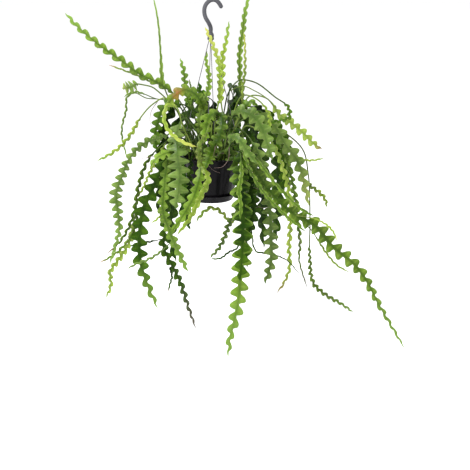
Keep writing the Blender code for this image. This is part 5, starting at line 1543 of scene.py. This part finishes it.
@dataclass
class Soil:
    """Potting mix with an uneven top, bark chips and a little perlite."""

    chips: int = 240
    around: int = 72
    seed: int = 11

    def body(self) -> np.ndarray:
        """Gives the rings of the mix, from the middle of its foot up its side and in over its top.

        Returns:
            One ring a row.
        """
        low = FLOOR_Z + WALL + 1.2 * MM
        neck = RIM_WIDTH / 2 - FLANGE_REACH
        slope = (neck - BASE_WIDTH / 2) / POT_HEIGHT
        inset = WALL + 1.1 * MM
        wide_low = BASE_WIDTH / 2 + slope * (low - FLOOR_Z) - inset
        wide_high = BASE_WIDTH / 2 + slope * (SOIL_Z - FLOOR_Z) - inset
        radii = [wide_low * 0.5, wide_low - 2 * MM, wide_low, wide_high]
        heights = [low, low, low + 2 * MM, SOIL_Z - 1.5 * MM]
        top = np.linspace(wide_high - MM, 2 * MM, 22)
        radii = np.concatenate((radii, top))
        heights = np.concatenate((heights, np.full(len(top), SOIL_Z)))
        turns = 2 * np.pi * np.arange(self.around) / self.around
        rings = np.empty((len(radii), self.around, 3))
        rings[..., 0] = radii[:, None] * np.cos(turns)
        rings[..., 1] = radii[:, None] * np.sin(turns)
        rings[..., 2] = heights[:, None]
        for ring in rings[4:]:
            for point in ring:
                lump = noise.noise(Vector(point) * 70) * 1.6 + noise.noise(Vector(point) * 240) * 0.8
                point[2] += lump * MM
        return rings

    def build(self) -> None:
        """Makes the mix and scatters chips over it."""
        shell = Shell()
        shell.lay(self.body())
        draw = np.random.default_rng(self.seed)
        reach = MOUTH_RADIUS - 6 * MM
        for i in range(self.chips):
            turn = draw.uniform(0, 2 * math.pi)
            radius = reach * math.sqrt(draw.uniform(0.01, 1))
            white = i % 9 == 0
            size = draw.uniform(0.9, 1.8) if white else draw.uniform(1.4, 4.2)
            made = bmesh.ops.create_icosphere(shell.bm, subdivisions=1, radius=size * MM)["verts"]
            stretch = draw.uniform((0.8, 0.5, 0.3), (1.3, 0.9, 0.6))
            rough = draw.uniform(0.75, 1.1, len(made))
            spin = draw.uniform(0, 2 * math.pi)
            lean = draw.uniform(-0.5, 0.5)
            middle = Vector((radius * math.cos(turn), radius * math.sin(turn), SOIL_Z + size * 0.25 * MM))
            for vert, scale in zip(made, rough):
                local = Vector(stretch * np.array(vert.co)) * scale
                across = local.x * math.cos(spin) - local.y * math.sin(spin)
                back = local.x * math.sin(spin) + local.y * math.cos(spin)
                vert.co = middle + Vector((across, back, local.z + local.x * lean))
                for face in vert.link_faces:
                    face.material_index = 2 if white else 1
        finishes = [EARTH_FINISH.material(), BARK_FINISH.material(), PERLITE_FINISH.material()]
        soil = shell.finished("potting_soil", finishes, SOIL_SHARP)
        settle(soil, "soil_brown", "soil")


@dataclass
class Hanger:
    """The rod hook with its knob, and the four wires that hold the pot's flange."""

    rod: float = HOOK_ROD / 2
    around: int = 28

    @staticmethod
    def hook_points() -> np.ndarray:
        """Gives the hook's centre line from its tip, over the saddle and down to the knob.

        Returns:
            One point a row.
        """
        bends = (
            (27, 0, -20), (22, 0, -10), (13, 0, -1), (3, 0, 0), (-6, 0, -5), (-13, 0, -15),
            (-15, 0, -29), (-12, 0, -42), (-5, 0, -54), (0, 0, -66), (0, 0, -78),
        )
        return np.array(bends) * MM + (0, 0, HOOK_ROD / 2)

    @staticmethod
    def knob_line() -> np.ndarray:
        """Gives the knob's axis from its top down."""
        heights = np.linspace(KNOB_TOP, KNOB_TOP - KNOB_HEIGHT, 4)
        return np.column_stack((np.zeros(4), np.zeros(4), heights))

    @staticmethod
    def eye(number: int) -> np.ndarray:
        """Gives the middle of a wire's hole in the pot's flange."""
        turn = 2 * math.pi * number / WIRES + math.pi + WIRE_TURN
        return np.array((WIRE_EYE_RADIUS * math.cos(turn), WIRE_EYE_RADIUS * math.sin(turn), RIM_Z))

    def wire_points(self, number: int) -> np.ndarray:
        """Gives the points that a wire passes, from the knob to its hooked end below the flange.

        Args:
            number: which wire.

        Returns:
            One point a row.
        """
        eye = self.eye(number)
        out = np.array((eye[0], eye[1], 0)) / WIRE_EYE_RADIUS
        top = np.array((*(out[:2] * SOCKET_RADIUS), KNOB_TOP - KNOB_HEIGHT + 9 * MM))
        return np.array(
            (
                top,
                top - (0, 0, 10 * MM),
                eye + (0, 0, 9 * MM) - out * 1.4 * MM,
                eye + (0, 0, 3 * MM),
                eye - (0, 0, 5 * MM),
                eye - (0, 0, 7.6 * MM) + out * 1.6 * MM,
                eye - (0, 0, 6.4 * MM) + out * 3.4 * MM,
            )
        )

    def lines(self) -> List[Tuple[np.ndarray, float, float]]:
        """Gives what the stems stay clear of: each line, and its reach and depth.

        Returns:
            The wires, the hook and the knob.
        """
        reach, depth = 3.2 * MM, WIRE_WIDTH / 2 + 0.5 * MM
        wires = [(through(self.wire_points(i), SAMPLE), reach, depth) for i in range(WIRES)]
        hook = (through(self.hook_points(), SAMPLE), HOOK_ROD / 2 + 2 * MM, HOOK_ROD / 2 + MM)
        knob = (self.knob_line(), KNOB_RADIUS + 2 * MM, KNOB_RADIUS + MM)
        return [*wires, hook, knob]

    def build_hook(self) -> None:
        """Makes the hook: a rod with a round end, and a grooved knob at its foot."""
        line = through(self.hook_points(), 1.6 * MM)
        along = lengths(line)
        radii = self.rod * np.sqrt(1 - (1 - np.clip(along / self.rod, 0.02, 1)) ** 2)
        top, bottom = KNOB_TOP, KNOB_TOP - KNOB_HEIGHT
        outline = [
            (0, top + 3 * MM),
            (self.rod + MM, top + 3 * MM),
            (KNOB_RADIUS, top - 3 * MM),
            (KNOB_RADIUS, top - 6 * MM),
            (KNOB_RADIUS - 0.7 * MM, top - 6.8 * MM),
            (KNOB_RADIUS - 0.7 * MM, top - 8.4 * MM),
            (KNOB_RADIUS, top - 9.2 * MM),
            (KNOB_RADIUS, bottom + 2 * MM),
            (KNOB_RADIUS - 2 * MM, bottom),
            (0, bottom),
        ]
        shell = turned(outline, 56, 0.4 * MM)
        shell.lay(rod_rings(line, radii, self.around))
        hook = shell.finished("rod_hook", [HOOK_FINISH.material()])
        settle(hook, "hook_grey", "hanger_hook")

    def build_wires(self) -> None:
        """Makes the wires, each with its hooked end."""
        steel = WIRE_FINISH.material()
        for i in range(WIRES):
            points = self.wire_points(i)
            line = np.vstack((points[:2], through(points[2:], 0.7 * MM)))
            shell = Shell()
            shell.lay(rod_rings(line, np.full(len(line), WIRE_WIDTH / 2), 12))
            wire = shell.finished(f"steel_wire_{i + 1}", [steel])
            settle(wire, "wire_steel", f"hanger_wire_{i + 1}")


@dataclass(frozen=True)
class LobeForm:
    """Where a lobe's notch is, and where it begins, is widest and ends, as shares of a pitch."""

    notch: float
    begin: float
    peak: float
    end: float


ROUNDED_FORM = LobeForm(0.7, 0.14, 0.7, 0.95)
PLAIN_FORM = LobeForm(0.5, 0.08, 0.68, 0.97)


class Blade:
    """One leafy stem's fine shape: a round stalk that widens to a thin ribbed blade with cut lobes."""

    NUMBERS = ("growth_and_light", "across", "vein", "rib", "shade", "ripe", "rust", "pale", "bare")

    def __init__(self, stem: Stem, thicket: Thicket, seed: int) -> None:
        """Reads the stem's curve.

        Args:
            stem: the stem.
            thicket: where the stems go.
            seed: what its small differences are drawn from.
        """
        self.stem = stem
        self.route = thicket.routes[stem.name]
        self.total = lengths(self.route)[-1]
        self.first = thicket.first_lobe(stem, self.total)
        self.lobes = max(2, round((self.total - self.first) / (stem.pitch * MM)))
        self.pitch = (self.total - self.first) / (self.lobes + SPARE_PITCH)
        self.stalk = STALK_WIDTH / 2 if not stem.on else STALK_WIDTH * SHOOT_STALK
        self.dense = through(self.route, 2 * MM)
        self.scale = lengths(self.dense)[-1] / self.total
        self.draw = np.random.default_rng(seed)

    def read(self, values: np.ndarray, places: np.ndarray) -> np.ndarray:
        """Reads rows of the dense curve at places along the stem."""
        return at_lengths(values, lengths(self.dense), places * self.scale)

    def rows(self) -> np.ndarray:
        """Gives the places of the blade's sections, close together where it has lobes.

        Returns:
            How far along the stem each is.
        """
        stalk = np.linspace(0, self.first, max(3, int(self.first / STALK_ROW)), endpoint=False)
        leafy = np.linspace(self.first, self.total, self.lobes * ROWS_PER_LOBE)
        return np.concatenate((stalk, leafy))

    def edge(self, turns: np.ndarray, left: bool) -> Tuple[np.ndarray, np.ndarray, np.ndarray]:
        """Cuts one edge's lobes.

        Args:
            turns: places along the blade, in pitches from its first lobe.
            left: which edge.

        Returns:
            The share of the half width that the edge reaches, how much of a lobe's middle each place
            is, and the lobe's own curl.
        """
        form = ROUNDED_FORM if self.stem.rounded else PLAIN_FORM
        turns = np.maximum(turns - form.notch, -1.5) + (0 if left else 0.5)
        turns = turns + LOBE_WANDER * np.sin(turns * 2.1 + self.draw.uniform(0, 6))
        number = np.floor(turns).astype(int)
        phase = turns - number
        sizes = self.draw.uniform(*LOBE_SIZES, number.max() + 4)[number + 2]
        curls = self.draw.uniform(-1, 1, number.max() + 4)[number + 2]
        rising = np.clip((phase - form.begin) / (form.peak - form.begin), 0, 1)
        falling = np.clip((form.end - phase) / (form.end - form.peak), 0, 1)
        rise = (0.5 - 0.5 * np.cos(np.pi * rising)) ** RISE_POWER
        fall = np.sin(np.pi / 2 * falling) ** FALL_POWER
        lobe = np.where(phase < form.peak, rise, fall)
        middle = 0.5 + 0.5 * np.cos(2 * np.pi * (phase - form.peak * 0.86))
        return self.stem.sinus + (sizes - self.stem.sinus) * lobe, middle, curls * lobe

    def sections(self) -> Tuple[np.ndarray, Dict[str, np.ndarray]]:
        """Works out the rings of the blade.

        Returns:
            The rings, and the values kept on their points.
        """
        places = self.rows()
        turns = (places - self.first) / self.pitch
        share = np.clip((places - self.first) / (self.total - self.first), 0, 1)
        half = half_width(self.stem, share) * LOBE_ROUNDING * self.stem.fuller
        leafy = np.clip(turns * 2, 0, 1)
        left_over = self.total - places
        rib = RIB_THICKNESS / 2 * (0.6 + 0.4 * np.minimum(1, half / FULL_RIB)) * (1 - TAPER * share)
        rib = self.stalk + (np.maximum(rib, LEAST_RIB) * RIB_FIT - self.stalk) * leafy
        rib *= np.clip(left_over / BLUNT, 0.04, 1) ** 0.5
        lamina = LAMINA / 2 * (1 - TAPER * share) * np.clip(left_over / THINNED, 0.05, 1) ** 0.5
        grow = np.clip(0.3 + turns / 0.8, 0, 1) * (turns > -0.15)
        pointed = np.clip(left_over / (0.8 * self.pitch), 0, 1) ** 0.8
        offsets, heights, marks = [], [], []
        for left in (True, False):
            reach, middle, curl = self.edge(turns, left)
            lobed = np.clip((half - LEAST_LOBED) / LOBED_EASE, 0, 1)
            reach = reach * lobed + (0.45 + 0.25 * reach) * (1 - lobed)
            wide = np.maximum(half * grow * reach * pointed, rib)
            flat = np.clip((wide - rib) / STRAP, 0, 1)
            across = np.stack(
                (
                    wide,
                    rib * 0.985 * (1 - flat) + flat * (wide - 0.5 * MM),
                    rib * 0.92 * (1 - flat) + flat * (rib + (wide - rib) * 0.45),
                    rib * (0.72 + 0.12 * flat),
                )
            )
            high = np.stack(
                (
                    np.zeros_like(wide),
                    0.17 * rib * (1 - flat) + flat * lamina * 0.75,
                    0.39 * rib * (1 - flat) + flat * lamina,
                    0.69 * rib * (1 - flat) + flat * (lamina + (rib - lamina) * 0.45),
                )
            )
            offsets.append(across * (-1 if left else 1))
            heights.append(high)
            marks.append((middle, curl))
        return self.rings(places, half, rib, offsets, heights, marks, share)

    def rings(
        self,
        places: np.ndarray,
        half: np.ndarray,
        rib: np.ndarray,
        offsets: List[np.ndarray],
        heights: List[np.ndarray],
        marks: List[Tuple[np.ndarray, np.ndarray]],
        share: np.ndarray,
    ) -> Tuple[np.ndarray, Dict[str, np.ndarray]]:
        """Joins the two sides' offsets and heights to rings round the stem.

        Args:
            places: how far along each section is.
            half: half the blade's full width there.
            rib: the rib's radius there.
            offsets: each side's distances across, from the edge to the rib.
            heights: half the thickness at each of them.
            marks: each side's lobe middles and curls.
            share: how far along the leafy part each section is.

        Returns:
            The rings, and the values kept on their points.
        """
        centre = np.zeros(len(places))
        left, right = offsets
        left_high, right_high = heights
        across = np.stack((*left, centre, *right[::-1], *right[1:], centre, *left[:0:-1]), 1)
        high = np.stack((*left_high, rib, *right_high[::-1], *-right_high[1:], -rib, *-left_high[:0:-1]), 1)
        on_left = across < 0
        middle = np.where(on_left, marks[0][0][:, None], marks[1][0][:, None])
        curl = np.where(on_left, marks[0][1][:, None], marks[1][1][:, None])
        out = np.clip(np.abs(across) / half[:, None], 0, 1)
        bend = (curl * LOBE_CURL - LOBE_BEND) * half[:, None] * out**2
        lean = out**1.5 * LOBE_LEAN * self.pitch * (places > self.first)[:, None]
        side = unit(self.read(sides(self.dense, self.stem.roll), places))
        ahead = unit(self.read(directions(self.dense), places))
        face = np.cross(side, ahead)
        middle_line = self.read(self.dense, places)
        rings = middle_line[:, None] + side[:, None] * across[..., None]
        rings += face[:, None] * (high + bend)[..., None] + ahead[:, None] * lean[..., None]
        tip = self.stem.tip
        ripe = np.clip((share - 1) / tip.value[1] + 1, 0, 1) ** 1.3 if tip else share * 0
        stained = self.stem.rusted
        rust = share * 0
        if stained:
            rust = np.exp(-(((share - sum(stained) / 2) / (stained[1] - stained[0])) ** 2) * 6)
        ribbed = np.exp(-((np.abs(across) / (rib[:, None] + 1e-6)) ** 2)) * (half[:, None] > RIB_SHOWS)
        away = np.linalg.norm(middle_line - SHADE_CENTRE, axis=1)
        open_air = np.clip((away - SHADE_FROM) / SHADE_EASE, 0, 1)[:, None]
        shade = np.clip(0.6 + curl * 0.25 + self.draw.uniform(-0.3, 0.4), 0, 1) * open_air
        # Dark-toned stems with no look given are drawn older and not paler: painted shade for stems deep in
        # and behind the crown
        shaded = self.stem.tone == Tone.DARK
        drawn = (self.draw.uniform(-0.3, 0.4) - 0.3 * shaded, self.draw.uniform(0, 0.2) * (not shaded))
        younger, paler = self.stem.look or drawn
        # From old to young along the stem; the younger shift is held back near the base so that bases stay old
        # and dark, which is partly painted shade of the crown
        growth_and_light = np.clip(places / self.total + younger * np.minimum(1, 2.5 * places / self.total), 0, 1)
        bare = np.clip((self.first - places) / BARE_EASE, 0, 1)
        ripe, rust, growth_and_light, bare = (
            np.repeat(by_section[:, None], across.shape[1], 1) for by_section in (ripe, rust, growth_and_light, bare)
        )
        values = {
            "growth_and_light": growth_and_light,
            "across": out,
            "vein": middle,
            "rib": ribbed,
            "shade": shade,
            "ripe": ripe,
            "rust": rust * (1 - 0.5 * out),
            "pale": np.full_like(out, paler),
            "bare": bare,
        }
        return rings, values

    def notches(self, rings: np.ndarray) -> List[np.ndarray]:
        """Finds the middles of the areoles, where an edge of the blade comes nearest to its rib.

        Args:
            rings: the blade's rings.

        Returns:
            One point for each notch of the parts that are wide enough to have lobes.
        """
        places = self.rows()
        share = (places - self.first) / (self.total - self.first)
        lobed = (share > AREOLES_FROM) & (share < AREOLES_TO)
        lobed &= half_width(self.stem, np.clip(share, 0, 1)) > AREOLE_HALF
        middle_line = self.read(self.dense, places)
        found = []
        for edge_point in EDGE_POINTS:
            reach = np.linalg.norm(rings[:, edge_point] - middle_line, axis=1)
            nearest = (reach[1:-1] <= reach[:-2]) & (reach[1:-1] < reach[2:]) & lobed[1:-1]
            found += list(rings[1:-1, edge_point][nearest])
        return found

    def rootlets(self) -> List[np.ndarray]:
        """Gives the lines of a few short dry rootlets from the back of the rib.

        Returns:
            One line for each.
        """
        lines = []
        count = self.draw.integers(0, 3) if max(self.stem.wide) > ROOTLET_FROM_WIDTH else 0
        for _ in range(count):
            share = self.draw.uniform(*ROOTLET_SHARES)
            base = self.read(self.dense, np.array([self.first + (self.total - self.first) * share]))[0]
            out = np.array([self.draw.uniform(*limits) for limits in ROOTLET_WAYS])
            length = self.draw.uniform(*ROOTLET_LENGTHS) * MM
            end = base + out * length + np.array((0, 0, -0.3 * length))
            lines.append(through(np.array((base, base + out * length * 0.5, end)), 1.5 * MM))
        return lines


class Foliage:
    """All the leafy stems, each with what branches from it as one piece."""

    def __init__(self, thicket: Thicket) -> None:
        """Makes the finishes.

        Args:
            thicket: where the stems go.
        """
        self.thicket = thicket
        self.tones = list(Tone)
        self.finishes = [LEAF_FINISHES[tone].material() for tone in self.tones]
        self.finishes += [AERIAL_FINISH.material(), AREOLE_FINISH.material()]
        self.aerial, self.areole = len(self.tones), len(self.tones) + 1

    @staticmethod
    def families() -> List[List[Stem]]:
        """Groups each trunk with the stems that branch from it, and from those.

        Returns:
            The groups, each led by its trunk.
        """
        groups = []
        for trunk in STEMS:
            if trunk.on:
                continue
            group = [trunk]
            for stem in STEMS:
                if stem.on in [member.name for member in group]:
                    group.append(stem)
            groups.append(group)
        return groups

    def add_areole(self, shell: Shell, middle: np.ndarray) -> None:
        """Adds one areole.

        Args:
            shell: the piece's mesh.
            middle: where it sits.
        """
        made = bmesh.ops.create_icosphere(shell.bm, subdivisions=1, radius=AREOLE_RADIUS)["verts"]
        bmesh.ops.translate(shell.bm, verts=made, vec=Vector(middle))
        for vert in made:
            for face in vert.link_faces:
                face.material_index = self.areole

    def add_roots(self, shell: Shell, stem: Stem, blade: Blade) -> None:
        """Adds a stem's aerial roots and rootlets.

        Args:
            shell: the piece's mesh.
            stem: the stem.
            blade: its fine shape.
        """
        lines = blade.rootlets()
        for root in AERIAL_ROOTS:
            if root.on == stem.name:
                base = blade.route[round(root.share * (len(blade.route) - 1))]
                near = np.full(len(root.seen), -base[1])
                lines.append(through(np.vstack((base, SIGHT.pixels(root.seen, near))), 3 * MM))
        for line in lines:
            radii = np.linspace(*ROOT_RADII, len(line)) * MM
            shell.lay(rod_rings(line, radii, 6), self.aerial)

    def build(self) -> None:
        """Makes every stem and puts it in the place of its solid."""
        for group in self.families():
            node = f"stem_{group[0].name}"
            shell = Shell(Blade.NUMBERS)
            for stem in group:
                blade = Blade(stem, self.thicket, STEMS.index(stem))
                rings, values = blade.sections()
                tip = (stem.tip or Tip.FRESH).value[0]
                shell.lay(rings, self.tones.index(stem.tone), values, tip)
                for middle in blade.notches(rings):
                    self.add_areole(shell, middle)
                self.add_roots(shell, stem, blade)
            piece = shell.finished(f"leafy_{group[0].name}", self.finishes, LEAF_SHARP)
            settle(piece, group[0].tone.value, node)


@dataclass(frozen=True)
class AreaLight:
    """One soft light of the studio."""

    name: str
    place: Tuple[float, float, float]
    width: float
    power: float
    colour: Colour = (1, 1, 1)

    def build(self, target: Vector) -> None:
        """Adds the light, turned to the target.

        Args:
            target: what it shines on.
        """
        light = bpy.data.lights.new(self.name, "AREA")
        light.shape = "DISK"
        light.size = self.width
        light.energy = self.power
        light.color = self.colour
        item = linked(self.name, light)
        item.location = self.place
        item.rotation_euler = (target - item.location).to_track_quat("-Z", "Y").to_euler()


@dataclass
class Studio:
    """The camera at the photograph's view, a pale floor and soft light."""

    floor_reach: float = 30.0
    below: float = 12 * MM
    sky: float = 1.07
    lights: Tuple[AreaLight, ...] = (
        AreaLight("key", (-1.0, -1.3, 1.3), 0.7, 80),
        AreaLight("fill", (2.2, -1.4, 0.3), 0.5, 12),
        AreaLight("back", (0.4, 1.8, 1.4), 1.5, 18),
    )

    def camera(self) -> None:
        """Puts the camera at the photograph's eye."""
        camera = bpy.data.cameras.new("camera")
        camera.sensor_width = 36
        camera.lens = camera.sensor_width * SIGHT_RANGE / (PHOTO_WIDTH * PIXEL)
        item = linked("camera", camera)
        item.location = SIGHT.eye
        item.rotation_euler = (math.pi / 2 - SIGHT_TILT, 0, 0)
        bpy.context.scene.camera = item

    def floor(self, height: float) -> None:
        """Lays the floor.

        Args:
            height: the lowest point of the plant, which hangs just above it.
        """
        bm = bmesh.new()
        bmesh.ops.create_grid(bm, x_segments=1, y_segments=1, size=self.floor_reach)
        bmesh.ops.translate(bm, verts=bm.verts, vec=(0, 0, height - self.below))
        mesh = mesh_of(bm, "studio_floor")
        mesh.materials.append(FLOOR_FINISH.material())
        floor = linked("studio_floor", mesh)
        floor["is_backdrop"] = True

    def build(self, lowest: float) -> None:
        """Makes the studio.

        Args:
            lowest: the height of the plant's lowest point.
        """
        world = bpy.data.worlds.new("studio")
        world.use_nodes = True
        sky = world.node_tree.nodes["Background"].inputs
        sky["Color"].default_value = (1, 1, 1, 1)
        sky["Strength"].default_value = self.sky
        bpy.context.scene.world = world
        bpy.context.scene.view_settings.view_transform = "Standard"
        for light in self.lights:
            light.build(Vector(SIGHT.middle))
        self.camera()
        self.floor(lowest)


def main() -> None:
    """Builds the piece sub-assembly by sub-assembly, then the studio with its floor below the solids' lowest
    point.
    """
    logging.basicConfig(level=logging.INFO, format="%(message)s")
    solid_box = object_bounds()
    hanger = Hanger()
    Pot().build(hanger)
    Saucer().build()
    Soil().build()
    hanger.build_hook()
    hanger.build_wires()
    Foliage(Thicket(hanger)).build()
    Studio().build(solid_box[0][2])


if __name__ == "__main__":
    main()
